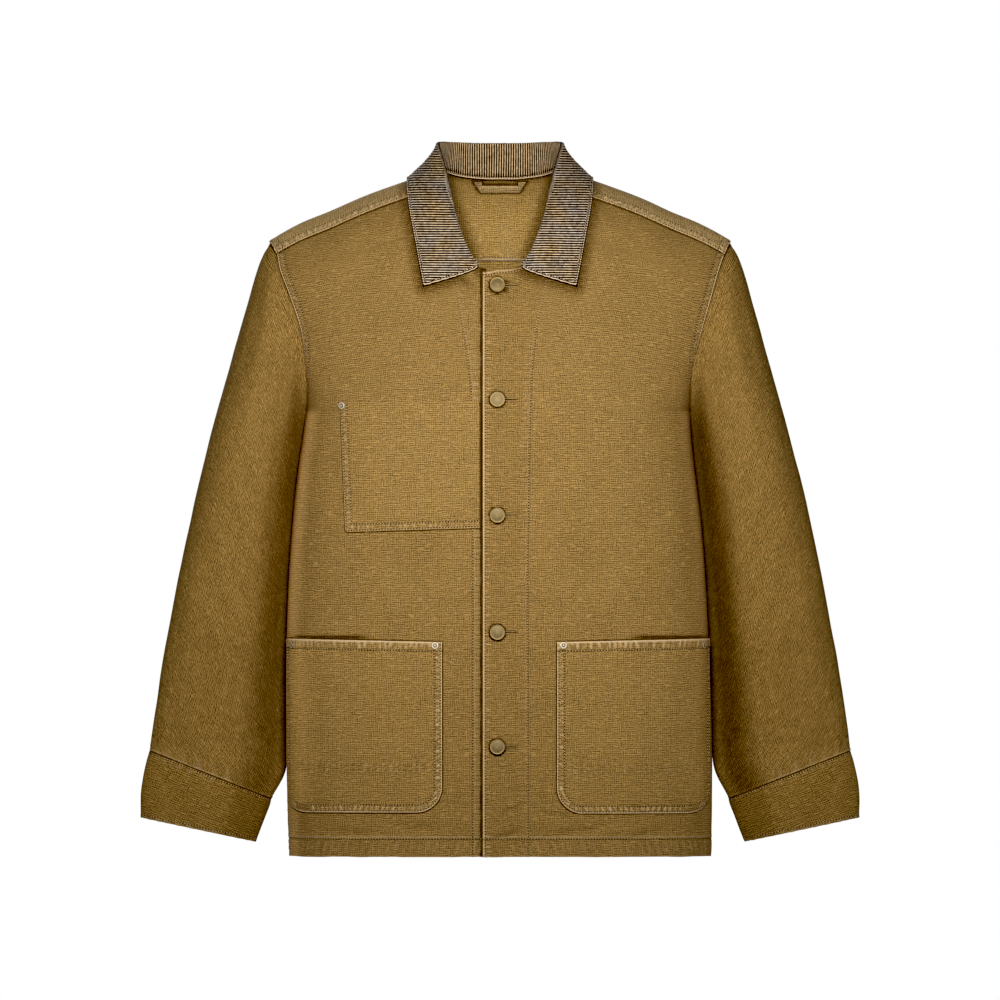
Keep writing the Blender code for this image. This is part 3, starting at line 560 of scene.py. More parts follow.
def sew(name, rows, look, half=1.52, thick=0.5, pitch=STITCH_PITCH, seed=1, slant=0.0):
    """Rows of thread, each stitch a short bowed length that dips into its holes."""
    chance = np.random.default_rng(seed)
    stitch = []
    for place, lift, size in STITCH_RINGS:
        for k in range(STITCH_SIDES):
            turn = 2 * math.pi * (k + 0.5) / STITCH_SIDES
            high = (lift + math.sin(turn) * size * 0.8) * thick
            stitch.append((place * half, math.cos(turn) * size * thick, high))
    stitch = np.array(stitch)
    ends = np.repeat([abs(place) for place, _, _ in STITCH_RINGS], STITCH_SIDES)
    faces = []
    for first in range(0, len(stitch) - STITCH_SIDES, STITCH_SIDES):
        for k in range(STITCH_SIDES):
            a, b = first + k, first + (k + 1) % STITCH_SIDES
            faces.append((a, b, b + STITCH_SIDES, a + STITCH_SIDES))
    faces = np.array(faces)
    caps = np.array([range(STITCH_SIDES)[::-1], range(len(stitch) - STITCH_SIDES, len(stitch))])
    spots, ways, ups = [], [], []
    for line, normals in rows:
        gone = line_lengths(line)
        number = max(1, int(gone[-1] / pitch))
        at = (np.arange(number) + 0.5) * gone[-1] / number
        spots.append(read_line(line, gone, at))
        ways.append(read_line(line, gone, at + 0.4) - read_line(line, gone, at - 0.4))
        ups.append(read_line(normals, gone, at))
    spot, way, up = np.concatenate(spots), unit(np.concatenate(ways)), np.concatenate(ups)
    up = unit(up - way * np.sum(up * way, 1, keepdims=True))
    beside = np.cross(up, way)
    lean = slant + chance.uniform(-0.09, 0.09, len(way))[:, None]
    way, beside = way * np.cos(lean) + beside * np.sin(lean), beside * np.cos(lean) - way * np.sin(lean)
    scale = chance.uniform(0.93, 1.04, (len(spot), 1, 1))
    points = spot[:, None] + scale * (stitch @ np.stack([way, beside, up], 1))
    start = np.arange(len(spot))[:, None, None] * len(stitch)
    every = [(kind[None] + start).reshape(-1, kind.shape[1]).tolist() for kind in (faces, caps)]
    mesh = bpy.data.meshes.new(name)
    mesh.from_pydata((points.reshape(-1, 3) * MM).tolist(), [], every[0] + every[1])
    # each point's distance from the stitch's middle, turned into painted shade at the ends by the thread look
    mark_points(mesh, "wear_and_painted_light", np.tile(ends, len(spot)))
    mesh.update()
    mesh.shade_smooth()
    if inside_out(points[0][faces[:, :3]] - points[0].mean(axis=0)):
        mesh.flip_normals()
    piece = new_piece(name, mesh, look)
    return piece


def feed(tree, node, values):
    """Sets the inputs that are given a value and links those that are given a socket."""
    for name, value in values.items():
        if isinstance(value, bpy.types.NodeSocket):
            tree.links.new(value, node.inputs[name])
        else:
            node.inputs[name].default_value = value


def add(tree, kind, values=None, **settings):
    node = tree.nodes.new(kind)
    for name, value in settings.items():
        setattr(node, name, value)
    feed(tree, node, values or {})
    return node


def maths(tree, operation, *values, clamp=False):
    """The result of a sum on values or sockets."""
    node = add(tree, "ShaderNodeMath", dict(enumerate(values)), operation=operation, use_clamp=clamp)
    return node.outputs[0]


def noise(tree, place, **values):
    return add(tree, "ShaderNodeTexNoise", {"Vector": place, **values}).outputs["Fac"]


def mix(tree, factor, low, high, **settings):
    values = {"Factor": factor, "A": low, "B": high}
    return add(tree, "ShaderNodeMix", values, data_type="RGBA", **settings).outputs["Result"]


def ramp(tree, factor, *stops):
    node = add(tree, "ShaderNodeValToRGB", {"Fac": factor})
    for element, (place, tone) in zip(node.color_ramp.elements, stops):
        element.position = place
        element.color = (*tone, 1)
    return node.outputs["Color"]


def marked(tree, name):
    return add(tree, "ShaderNodeAttribute", attribute_name=name).outputs["Fac"]


def own_place(tree):
    return add(tree, "ShaderNodeTexCoord").outputs["Object"]


def cut_place(tree):
    return add(tree, "ShaderNodeUVMap", uv_map="cut").outputs["UV"]


def bumps(tree, height, strength, distance):
    values = {"Height": height, "Strength": strength, "Distance": distance}
    return add(tree, "ShaderNodeBump", values).outputs["Normal"]


def shader_group(name, inputs, outputs):
    """A new shader group, with what enters it and the node it leaves by."""
    group = bpy.data.node_groups.new(name, "ShaderNodeTree")
    for way, sockets in (("INPUT", inputs), ("OUTPUT", outputs)):
        for label, kind in sockets:
            group.interface.new_socket(name=label, socket_type=kind, in_out=way)
    return group, group.nodes.new("NodeGroupInput").outputs, group.nodes.new("NodeGroupOutput")


def new_look(name, values):
    """A new material, with values on its shader's own sockets."""
    made = bpy.data.materials.new(name)
    made.use_nodes = True
    shader = made.node_tree.nodes["Principled BSDF"]
    feed(made.node_tree, shader, values)
    return made, made.node_tree, shader


VALUE, VECTOR, COLOUR = "NodeSocketFloat", "NodeSocketVector", "NodeSocketColor"
THREAD_PITCH = 0.0023


def plain_weave():
    """Shader group of the canvas: crossed threads, slubs, washed patches, rubbed pale
    high places and some painted light where the wear input is over 0, and painted
    shade in seams, gaps and hollows where it is under 0.  The painted light input
    makes the whole cloth lighter by a share, as along the sides.  Place is in
    metres along the cut piece."""
    tones = [(name, COLOUR) for name in ("Dark", "Light", "Faded", "PaintedShade")]
    group, given, leave = shader_group(
        "plain_weave",
        [("Place", VECTOR), ("WearAndPaintedLight", VALUE), ("PaintedLight", VALUE), *tones],
        [("Colour", COLOUR), ("Height", VALUE), ("Roughness", VALUE)],
    )

    def calc(operation, *values, clamp=False):
        return maths(group, operation, *values, clamp=clamp)

    def cloud(per_m, detail):
        stretch = add(group, "ShaderNodeVectorMath", {0: given["Place"], 1: per_m}, operation="MULTIPLY")
        return noise(group, stretch.outputs[0], Scale=1.0, Detail=detail, Roughness=0.62)

    def threads(run, way):
        """Thicker threads side by side, showing here and there along their length."""
        sway = calc("MULTIPLY", cloud((70, 70, 0), 1.0), 9.0)
        phase = calc("ADD", calc("MULTIPLY", run, 2 * math.pi / THREAD_PITCH), sway)
        shown = calc("MULTIPLY", calc("SUBTRACT", cloud(way, 1.0), 0.38), 3.6, clamp=True)
        return calc("MULTIPLY", calc("SINE", phase), shown)

    apart = add(group, "ShaderNodeSeparateXYZ", {0: given["Place"]}).outputs
    weft = threads(apart["Y"], (110, 330, 0))
    warp = threads(apart["X"], (330, 110, 0))
    slub = calc("MULTIPLY", calc("SUBTRACT", cloud((120, 640, 0), 0.0), 0.64), 6.0, clamp=True)
    grain = cloud((640, 760, 0), 1.0)
    patch = cloud((24, 24, 0), 3.0)
    parts = ((grain, 1.5), (patch, 0.25), (weft, 0.55), (warp, 0.34), (slub, 0.5))
    tone = 0.47 - 0.5 * sum(share for _, share in parts[:2])
    for cause, share in parts:
        tone = calc("MULTIPLY_ADD", cause, share, tone)
    tone = calc("ADD", tone, 0.0, clamp=True)
    colour = mix(group, tone, given["Dark"], given["Light"])
    # painted light: the colour scaled up by the painted light input
    painted_light_scale = {0: colour, "Scale": calc("ADD", given["PaintedLight"], 1.0)}
    colour = add(group, "ShaderNodeVectorMath", painted_light_scale, operation="SCALE").outputs[0]
    rubbed = calc("MULTIPLY", given["WearAndPaintedLight"], calc("ADD", grain, 0.45), clamp=True)
    colour = mix(group, rubbed, colour, given["Faded"])
    # painted shade: mixed towards the shade tone where the wear input is under 0
    painted_shade = calc("MULTIPLY", given["WearAndPaintedLight"], calc("MULTIPLY_ADD", tone, 0.7, -1.5), clamp=True)
    height = calc("MULTIPLY", grain, 0.7)
    for cause, share in ((weft, 0.3), (warp, 0.2)):
        height = calc("MULTIPLY_ADD", cause, share, height)
    roughness = calc("MULTIPLY_ADD", grain, -0.22, 1.0)
    colour = mix(group, painted_shade, colour, given["PaintedShade"])
    feed(group, leave, {"Colour": colour, "Height": height, "Roughness": roughness})
    return group


WEAVE = plain_weave()
CANVAS_TONE = (0.300, 0.187, 0.067)
FADED_TONE = (0.80, 0.59, 0.36)
# the share of the cloth's tone that painted shade keeps
PAINTED_SHADE_SHARE = (0.22, 0.17, 0.12)


def canvas_look(name, tone=CANVAS_TONE, contrast=0.62):
    """Washed cotton canvas, woven in one tone, rubbed pale on its high edges, with painted shade and painted
    light from its points' values.
    """
    values = {"Specular IOR Level": 0.06, "Sheen Weight": 0.04, "Sheen Roughness": 0.5}
    made, tree, shader = new_look(name, {**values, "Sheen Tint": (*FADED_TONE, 1)})
    values = {
        "Place": cut_place(tree),
        "WearAndPaintedLight": marked(tree, "wear_and_painted_light"),
        "PaintedLight": marked(tree, "painted_light"),
        "Dark": (*[c * (1 - contrast) for c in tone], 1),
        "Light": (*[c * (1 + contrast) for c in tone], 1),
        "Faded": (*FADED_TONE, 1),
        "PaintedShade": (*[c * share for c, share in zip(tone, PAINTED_SHADE_SHARE)], 1),
    }
    weave = add(tree, "ShaderNodeGroup", values, node_tree=WEAVE).outputs
    normal = bumps(tree, weave["Height"], 0.75, 0.0003)
    feed(tree, shader, {"Base Color": weave["Colour"], "Roughness": weave["Roughness"], "Normal": normal})
    return made


def thread_look(name, light, painted_hole_shade):
    """Sewing thread in the canvas's own tone, with painted shade at its ends where it dips into its holes."""
    made, tree, shader = new_look(name, {"Roughness": 0.8, "Specular IOR Level": 0.1})
    dipped = ramp(tree, marked(tree, "wear_and_painted_light"), (0.43, light), (0.49, painted_hole_shade))
    strands = noise(tree, own_place(tree), Scale=900)
    feed(tree, shader, {"Base Color": mix(tree, 0.55, dipped, strands, blend_type="MULTIPLY")})
    return made


BODY_CANVAS = canvas_look("canvas_body")
# painted light: the inside is given a much lighter tone than the outside of the same cloth
INSIDE_CANVAS_PAINTED_LIGHTER = canvas_look("canvas_inside_painted_lighter", tone=(0.47, 0.30, 0.105))
# the second tone is painted shade at the stitch ends
BODY_THREAD = thread_look("thread_gold", (0.84, 0.60, 0.30), (0.010, 0.006, 0.002))

front_rows, armhole_count = panel_rows(FRONT_STEP)
share, height = front_rows[:, :1], front_rows[:, 1:]
fine = 1 - (1 - np.linspace(0, 1, 260)) ** 1.9
front_grids = {}

for side, label in SIDES:
    coarse = front_points(side, fine[None, :], share, height)
    gone = run_lengths(coarse)
    total = gone[:, -1]
    line = np.array(FACING[side], float)
    past = side * coarse[..., 0] - np.interp(coarse[..., 2], line[:, 0], line[:, 1])
    facing_at = read_rows(0 * total, past, gone)
    marks = [(0 * total, (), CLOSE_EDGE if side > 0 else UNDER_EDGE)]
    if side < 0:
        under_at = read_rows(0 * total + OVERLAP, -coarse[..., 0], gone)
        marks.append((under_at, *CLOSE_UNDER))
    marks += [(facing_at, CLOSE_LINE, CLOSE_LINE), (total, CLOSE_ARM, ())]
    places = stations(marks, FRONT_ACROSS)
    grid = front_points(side, read_rows(places, gone, fine), share, height)
    normals = grid_normals(grid)
    normals *= -np.sign(normals[..., 1].mean())
    run_down, high = lengths_down(grid), grid[..., 2] - HEM_Z
    from_side, from_edge = total[:, None] - places, places
    past_facing = places - facing_at[:, None]
    upper = smooth((grid[..., 2] - UNDERARM_Z + 6) / 12)
    at_yoke = smooth((np.abs(grid[..., 0]) - 60) / 4)
    seed = 10 if side > 0 else 40
    lift = soft(from_edge, high, seed, (0.16, 17), (0.3, 52))
    lift += 0.22 * crumple(from_edge, high * 2.4, 26, seed + 9) * smooth((70 - high) / 60)
    # painted shade right under the yoke's lapping edge
    wear_and_painted_light = -1.1 * smooth((2.2 - run_down) / 1.4) * at_yoke
    if side > 0:
        neck_edge = np.where(at_yoke < 0.5, run_down, 99.0)
        lift -= 0.4 * groove(neck_edge, NECK_STITCH, 0.6) + 0.4 * smooth((0.8 - neck_edge) / 0.8)
        wear_and_painted_light += 0.7 * between(neck_edge, -0.3, 1.6)
        lift += 0.9 * smooth((9 - from_edge) / 9) - 0.45 * groove(from_edge, FRONT_STITCH, 0.6)
        lift -= 0.5 * smooth((0.9 - from_edge) / 0.9)
        lift += 0.2 * uneven(high, 5, 3) * smooth((10 - from_edge) / 8) * smooth(from_edge / 2)
        # pale along the front edge, with painted shade in the stitch groove
        wear_and_painted_light += 0.8 * between(from_edge, -0.3, 1.5) - 0.3 * groove(from_edge, FRONT_STITCH, 0.5)
        bars = uneven(high, 5, 3) * between(from_edge, 1.6, 9)
        wear_and_painted_light += bar_wear(bars, 0.45) - 0.05 * smooth((2 - past_facing) / 4)
    else:
        # painted shadow in the gap under the left front's edge
        wear_and_painted_light -= 1.4 * between(grid[..., 0], -OVERLAP - 3.9 - 0.5 * uneven(high, 30, 4), -OVERLAP + 4)
    lift += 0.3 * smooth((0.6 - past_facing) / 1.2) - 0.4 * groove(past_facing, 0, 0.65)
    bars = uneven(high, 5.5, seed + 2) * between(past_facing, -11, -0.4)
    lift += 0.28 * bars
    wear_and_painted_light += bar_wear(bars, 0.2) + 0.15 * groove(past_facing, -1.4, 0.8)
    # painted shade along the facing's edge
    wear_and_painted_light -= 0.45 * groove(past_facing, 0.2, 0.8)
    lift -= upper * 0.5 * (groove(from_side, ARMHOLE_ROWS[0], 0.6) + groove(from_side, ARMHOLE_ROWS[1], 0.7))
    bars = uneven(high + 0.5 * from_side, 5.2, seed + 3) * between(from_side, *ARMHOLE_ROWS) * upper
    lift += 0.42 * bars
    wear_and_painted_light += upper * (bar_wear(bars) + edge_wear_and_painted_light(from_side))
    # painted shade in the armhole's stitch grooves
    wear_and_painted_light -= 0.6 * upper * (groove(from_side, ARMHOLE_ROWS[0], 0.5) + groove(from_side, ARMHOLE_ROWS[1], 0.8))
    # painted light along the side, where the body turns away from the lamps
    at_side = smooth((64 - from_side) / 38) * (1 - upper)
    wear_and_painted_light += (0.05 if side > 0 else 0.12) * at_side
    hem, bars = hem_seam(high, from_edge + 0.35 * high, 8, seed + 4, 0.6)
    wear_and_painted_light += bar_wear(bars, 0.16) + 0.35 * groove(high, HEM_STITCH + 1.5, 0.8)
    # pale at the hem's fold, painted shade in the groove under its stitching
    wear_and_painted_light += 0.25 * smooth((1.0 - high) / 0.8) - 0.5 * groove(high, HEM_STITCH - 0.6, 0.9)
    # painted shade of the gap over each lower pocket's mouth
    mouth_z, mouth_in, mouth_out = POCKET_MOUTH
    over_pocket = between(np.abs(grid[..., 0]), mouth_in, mouth_out)
    wear_and_painted_light -= 0.9 * between(grid[..., 2], mouth_z, mouth_z + 3.8) * over_pocket
    skin, thick = hang(grid, normals, lift + hem, from_edge, high, seed + 5)
    front_grids[side] = grid
    lining = lining_of(grid, normals, thick, 3)
    # the left front's lining rim shows as a line of painted shadow along its edge
    shade = np.zeros(lining.shape[:2])
    if side > 0:
        shade[:, 0] = -1
        lining[:, 0] += RIM * unit(lining[:, 0] - lining[:, 1])
    piece = cloth(
        f"front_{label}_canvas",
        skin,
        lining,
        BODY_CANVAS,
        np.stack([from_edge, run_down - run_down[armhole_count - 1]], -1),
        np.clip(wear_and_painted_light, -1, 1),
        inside=INSIDE_CANVAS_PAINTED_LIGHTER,
        inside_wear_and_painted_light=shade,
    )
    # painted light along the side
    paint_light_on(piece, SIDE_PAINTED_LIGHT[side] * at_side)
    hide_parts(f"front_{label}")
    arm = slice(0, armhole_count)
    sewn = [
        sewn_across(skin, normals, places, facing_at, slice(6, None)),
        sewn_down(skin, normals, -high, -HEM_STITCH, slice(2, None)),
    ]
    if side > 0:
        sewn.append(sewn_across(skin, normals, places, FRONT_STITCH))
        sewn.append(sewn_down(skin, normals, run_down, NECK_STITCH, grid[0, :, 0] < 60))
    sewn += [sewn_across(skin, normals, places, total - row, arm) for row in ARMHOLE_ROWS]
    sew(f"front_{label}_stitches", sewn, BODY_THREAD, seed=seed)

# The back, one piece of canvas below the yoke, sewn to both fronts with flat double
# seams down the sides and turned up at the hem with the fronts.
YOKE_Z = -84.0
YOKE_SAG = 20.0
BACK_STEP = 3.5


def yoke_seam_z(x):
    return YOKE_Z - YOKE_SAG * (x / 240.0) ** 2


def back_grid(across_share, share, height):
    z = np.full(np.broadcast(across_share, share).shape, -90.0)
    for _ in range(20):
        z = share * (yoke_seam_z(across_share * half_width(z, across_share)) - SEAM) + height
    x = across_share * half_width(z, across_share)
    return np.stack([x, depth(x, z, 1), z], -1)


back_rows, back_armhole = panel_rows(BACK_STEP)
share, height = back_rows[:, :1], back_rows[:, 1:]
fine = 1 - (1 - np.linspace(0, 1, 200)) ** 1.9
fine = np.concatenate([-fine[:0:-1], fine])
gone = run_lengths(back_grid(fine[None, :], share, height))
total = gone[:, -1]
places = stations([(0 * total, (), CLOSE_ARM), (total, CLOSE_ARM, ())], BACK_STEP)
grid = back_grid(read_rows(places, gone, fine), share, height)
normals = grid_normals(grid)
normals *= np.sign(normals[..., 1].mean())
from_yoke, high = lengths_down(grid), grid[..., 2] - HEM_Z
from_side = np.minimum(places, total[:, None] - places)
lift = soft(places, high, 71, (0.2, 19), (0.45, 55)) - 0.5 * smooth((1.2 - from_yoke) / 1.2)
lift += 0.25 * crumple(places, high * 2.4, 26, 73) * smooth((70 - high) / 60)
seam, bars = double_seam(from_side, high + 0.4 * from_side, ARMHOLE_ROWS, 5.2, 74, 0.65, 0.5, 0.4)
# pale seam bars and edges, painted shade under the edges and under the yoke's lapping edge
wear_and_painted_light = bar_wear(bars) + edge_wear_and_painted_light(from_side) - 1.1 * smooth((2.2 - from_yoke) / 1.4)
hem, bars = hem_seam(high, places + 0.35 * high, 11, 75, 0.55)
wear_and_painted_light += bar_wear(bars, 0.3) + 0.5 * groove(high, HEM_STITCH + 1.7, 0.8)
# painted shade in the groove under the hem's stitching
wear_and_painted_light -= 0.3 * groove(high, HEM_STITCH - 0.6, 0.7)
back_skin, thick = hang(grid, normals, lift + seam + hem, places, high, 76)
# painted shade on the inside below the yoke seam
painted_shade = -0.2 * smooth((16 - from_yoke) / 8)[..., None] - 0.6 * smooth((2 - from_yoke) / 2)[..., None]
piece = cloth(
    "back_canvas",
    back_skin,
    lining_of(grid, normals, thick, 3),
    BODY_CANVAS,
    np.stack([places - total[:, None] / 2, from_yoke - from_yoke[back_armhole - 1]], -1),
    np.clip(wear_and_painted_light, -1, 1),
    inside=INSIDE_CANVAS_PAINTED_LIGHTER,
    inside_wear_and_painted_light=lining_of(painted_shade, 0 * painted_shade, 0, 3),
)
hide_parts("back")
sewn = [sewn_down(back_skin, normals, -high, -HEM_STITCH)]
for row in ARMHOLE_ROWS:
    for at in (row, total - row):
        sewn.append(sewn_across(back_skin, normals, places, at))
sew("back_stitches", sewn, BODY_THREAD, seed=70)

# The yoke, one piece over both shoulders.  Its front edges lap the fronts at the
# forward shoulder seams and its lower edge laps the back, each with two rows of
# stitching, and its inside is seen through the neck.
FORWARD_TURN = -0.48
YOKE_NECK = (
    (0, 0.50),
    (16, 0.49),
    (30, 0.46),
    (42, 0.41),
    (51, 0.34),
    (58, 0.24),
    (62.5, 0.12),
    (64, 0.0),
    (64, -0.18),
    (63, -0.34),
    (62, FORWARD_TURN),
)
NECK_COLUMNS = 42
SHOULDER_COLUMNS = 74
YOKE_COLUMNS = 2 * (NECK_COLUMNS + SHOULDER_COLUMNS - 1) - 1
YOKE_LOW_SPLIT = 0.42
YOKE_STEP = 2.6
FORWARD_ROWS = (2.4, 9.8)
YOKE_BACK_ROWS = (2.0, 8.4)
YOKE_INSIDE_ROW = 3.2
CLOSE_FORWARD = (0.6, 1.3, 2.4, 3.5, 4.6, 5.9, 7.2, 8.5, 9.8, 10.9, 12.4)
CLOSE_YOKE_BACK = (0.6, 1.3, 2.0, 2.9, 4.2, 5.6, 7.0, 8.4, 9.4, 11.0)


def turn_drop(turn):
    turn = np.abs(turn)
    over = DOME * (1 - np.cos(np.clip(turn, 0, 1) * math.pi / 2))
    return over + np.clip(turn - 1, 0, None) * DOME * math.pi / 2


def drop_turn(drop):
    over = np.arccos(1 - np.clip(drop, 0, DOME) / DOME) / (math.pi / 2)
    return over + np.clip(drop - DOME, 0, None) / (DOME * math.pi / 2)


def over_shoulder(share, turn):
    """A point at a share of the half width and a turn over the ridge."""
    share, turn = np.broadcast_arrays(np.asarray(share, float), np.asarray(turn, float))
    z = np.full(share.shape, -50.0)
    for _ in range(30):
        x = share * half_width(z, share)
        z = ridge(x) - turn_drop(turn)
    y = np.where(turn < 0, depth(x, z, -1), depth(x, z, 1))
    return np.stack([x, y, z], -1)


def yoke_grid(v):
    """The yoke from right to left, v from its upper to its lower edge by column."""
    neck = np.array([(x / SHOULDER_HALF, turn) for x, turn in YOKE_NECK])
    at = np.linspace(0, len(neck) - 1, NECK_COLUMNS)
    index = np.arange(len(neck))
    top_share = np.interp(at, index, neck[:, 0])
    top_turn = np.interp(at, index, neck[:, 1])
    near_arm = 1 - np.linspace(1, 0, SHOULDER_COLUMNS) ** 1.35
    top_share = np.append(top_share, neck[-1, 0] + (1 - neck[-1, 0]) * near_arm[1:])
    top_turn = np.append(top_turn, np.full(SHOULDER_COLUMNS - 1, FORWARD_TURN))
    low_share = YOKE_LOW_SPLIT + (1 - YOKE_LOW_SPLIT) * near_arm[1:]
    low_share = np.append(np.linspace(0, YOKE_LOW_SPLIT, NECK_COLUMNS), low_share)
    top_share = np.concatenate([-top_share[:0:-1], top_share])
    top_turn = np.concatenate([top_turn[:0:-1], top_turn])
    low_share = np.concatenate([-low_share[:0:-1], low_share])
    z = np.full(low_share.shape, -90.0)
    for _ in range(20):
        x = low_share * half_width(z, low_share)
        z = yoke_seam_z(x)
    low_turn = drop_turn(ridge(x) - z)
    share = top_share[None] + (low_share - top_share)[None] * v
    turn = top_turn[None] + (low_turn - top_turn)[None] * v
    return over_shoulder(share, turn)


fine = np.linspace(0, 1, 160)
gone = lengths_down(yoke_grid(np.repeat(fine[:, None], YOKE_COLUMNS, 1))).T
total = gone[:, -1]
places = stations([(0 * total, (), CLOSE_FORWARD), (total, CLOSE_YOKE_BACK, ())], YOKE_STEP)
grid = yoke_grid(read_rows(places, gone, fine).T)
places = places.T
yoke_base = grid
normals = grid_normals(grid)
middle = YOKE_COLUMNS // 2
normals *= np.sign(normals[-1, middle, 1])
run_side = run_lengths(grid)
from_arm = np.minimum(run_side, run_side[:, -1:] - run_side)
from_front, from_back = places, total[None] - places
column = np.abs(np.arange(YOKE_COLUMNS) - middle)[None]
shoulder = smooth((column - NECK_COLUMNS + 1.0) / 2.0)
x = grid[..., 0]
seam, bars = double_seam(from_front, x * 1.1 + 0.5 * places, FORWARD_ROWS, 6.0, 83, 0.75, 0.5, 0.5)
dips = sum(groove(from_front, row, 0.6) for row in FORWARD_ROWS)
lift = soft(x, places, 81, (0.15, 18), (0.3, 50)) + shoulder * seam
# pale seam bars and edges, painted shade in the stitch grooves
wear_and_painted_light = shoulder * (bar_wear(bars, 1.0) + edge_wear_and_painted_light(from_front, 1.1) - 0.6 * dips)
lift += shoulder * (0.7 * smooth((14 - from_front) / 4) - 0.35 * smooth((0.9 - from_front) / 0.9))
seam, bars = double_seam(from_back, x + 0.4 * places, YOKE_BACK_ROWS, 5.5, 84, 0.65, 0.5, 0.42)
lift += seam + 0.6 * smooth((12 - from_back) / 4) - 0.3 * smooth((0.9 - from_back) / 0.9)
wear_and_painted_light += bar_wear(bars) + edge_wear_and_painted_light(from_back)
seam, bars = double_seam(from_arm, places + 0.4 * from_arm, ARMHOLE_ROWS, 5.2, 85, 0.65, 0.5, 0.42)
lift += seam
wear_and_painted_light += bar_wear(bars) + edge_wear_and_painted_light(from_arm)
skin = grid + normals * lift[..., None]
inside_lift = 0.35 * uneven(x + 0.3 * places, 5.0, 86) * between(from_back, 1.4, 9.5)
inside_lift += 0.5 * smooth((2.4 - from_back) / 1.5) - 0.5 * groove(from_back, YOKE_INSIDE_ROW, 0.7)
lining = grid - normals * (CANVAS + inside_lift[..., None])
# the lining's front rim stands out and shows as a line of painted shadow
lining[0] += RIM * unit(grid[0] - grid[1])
# painted light: a much lighter tone than the body's canvas, though the yoke is the same cloth
YOKE_CANVAS_PAINTED_LIGHTER = canvas_look("canvas_yoke", tone=(0.500, 0.342, 0.152))
laid = np.stack([x, -from_back], -1)
# the inside: painted shade where the collar's leaves lie in front of it, near its upper edge and right under
# its lower edge
leaf_over = np.interp(grid[..., 2], (-95, 0), (24, 57))
inside_wear_and_painted_light = 0.4 * groove(from_back, 1.9, 0.8) - 1.6 * smooth((1.2 - from_back) / 0.7)
inside_wear_and_painted_light -= 0.55 * smooth((np.abs(x) - leaf_over + 13) / 13) + 0.3 * smooth((9 - np.abs(places)) / 9)
inside_wear_and_painted_light = np.clip(inside_wear_and_painted_light + bar_wear(inside_lift, 1.2), -1, 1)
inside_wear_and_painted_light[0] = -1
piece = cloth(
    "yoke_canvas",
    skin,
    lining,
    YOKE_CANVAS_PAINTED_LIGHTER,
    laid,
    np.clip(wear_and_painted_light, -1, 1),
    inside=INSIDE_CANVAS_PAINTED_LIGHTER,
    inside_wear_and_painted_light=inside_wear_and_painted_light,
)
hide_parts("yoke")
sewn = [sewn_down(skin, normals, places, total - row) for row in YOKE_BACK_ROWS]
sewn.append(sewn_down(lining, -normals, places, total - YOKE_INSIDE_ROW))
for row in FORWARD_ROWS:
    for half in (slice(0, SHOULDER_COLUMNS - 1), slice(YOKE_COLUMNS - SHOULDER_COLUMNS + 1, None)):
        sewn.append(sewn_down(skin, normals, places, row, half))
for row in ARMHOLE_ROWS:
    for at in (row, run_side[:, -1] - row):
        sewn.append(sewn_across(skin, normals, run_side, at))
sew("yoke_stitches", sewn, BODY_THREAD, seed=80)

# Two set-in sleeves of the same canvas.  Each starts inside the armhole, where the
# body is sewn over it, bends forward at the elbow and closes on the wide cuff.
SLEEVE_CLEAR = 1.0
SLEEVE = (
    (258.0, -86, -262, 60, 64, 1, 16),
    (269.5, -126, -282, 68, 70, 2, 24),
    (281.5, -170, -306, 70, 72, 4, 28),
    (293.5, -213, -332, 70, 72, 6, 28),
    (305.5, -256, -360, 69, 71, 7, 30),
    (316.5, -299, -390, 67, 70, 8, 30),
    (327.0, -342, -422, 64, 68, 8, 30),
    (336.0, -384, -454, 61, 65, 8, 30),
    (345.0, -427, -486, 57, 61, 7, 30),
    (353.0, -470, -518, 52, 55, 6, 30),
    (361.0, -512, -550, 46, 49, 5, 29),
    (367.5, -555, -582, 40, 42, 3, 27),
    (371.5, -584, -606, 34, 37, 1, 24),
)
SLEEVE_END = (
    (373.2, -597.0, 230.0, -632.0, 29, 32, 0, 14),
    (374.6, -609.2, 244.9, -660.6, 26, 28, -2, 4),
)
# drag folds: station, turn round the arm, length in stations, half width, depth
DRAGS = (
    (6.5, 212, 2.2, 30, 2.6),
    (8.4, 150, 1.8, 26, 1.6),
    (9.8, 218, 2.0, 30, 2.4),
    (5.0, 300, 2.4, 30, 3.5),
    (11.5, 90, 1.6, 40, 1.6),
)
# creases: station and turn of both ends, half width and depth in mm
SLEEVE_CREASES = (
    (1.2, 60, 6.5, 96, 11, 1.1),
    (2.0, 100, 9.0, 128, 12, 1.3),
    (0.8, 30, 4.2, 52, 13, 0.9),
    (4.0, 62, 11.0, 84, 13, 0.9),
    (5.6, 150, 7.2, 96, 9, 1.2),
    (7.4, 158, 8.6, 104, 9, 1.1),
    (9.4, 150, 10.6, 90, 9, 0.9),
    (11.6, 130, 13.2, 66, 8, 0.9),
    (12.2, 40, 13.6, 84, 8, 0.6),
    (3.0, 250, 7.4, 300, 13, 1.6),
    (6.0, 205, 7.6, 270, 10, 1.8),
    (8.2, 208, 9.4, 282, 10, 1.5),
    (10.2, 212, 11.8, 276, 10, 1.2),
    (1.0, 322, 5.6, 296, 14, 1.4),
)
CAP_SHARE = (1.0, 0.62, 0.32, 0.12, 0.03)
SLEEVE_SEAM_TURN = 212.0
SLEEVE_AROUND = 200
SLEEVE_STEP = 3.0
# how far the sleeve starts inside the armhole, and how much smaller its first ring is
START_INSIDE = 1.6
START_SMALLER = 1.5
CLOSE_SLEEVE = (0.8, 1.8, 3.0, 4.4, 6.0, 8.0)
CLOSE_CUFF_SEAM = (0.6, 1.3, 2.2, 3.4, 5.0, 7.0)


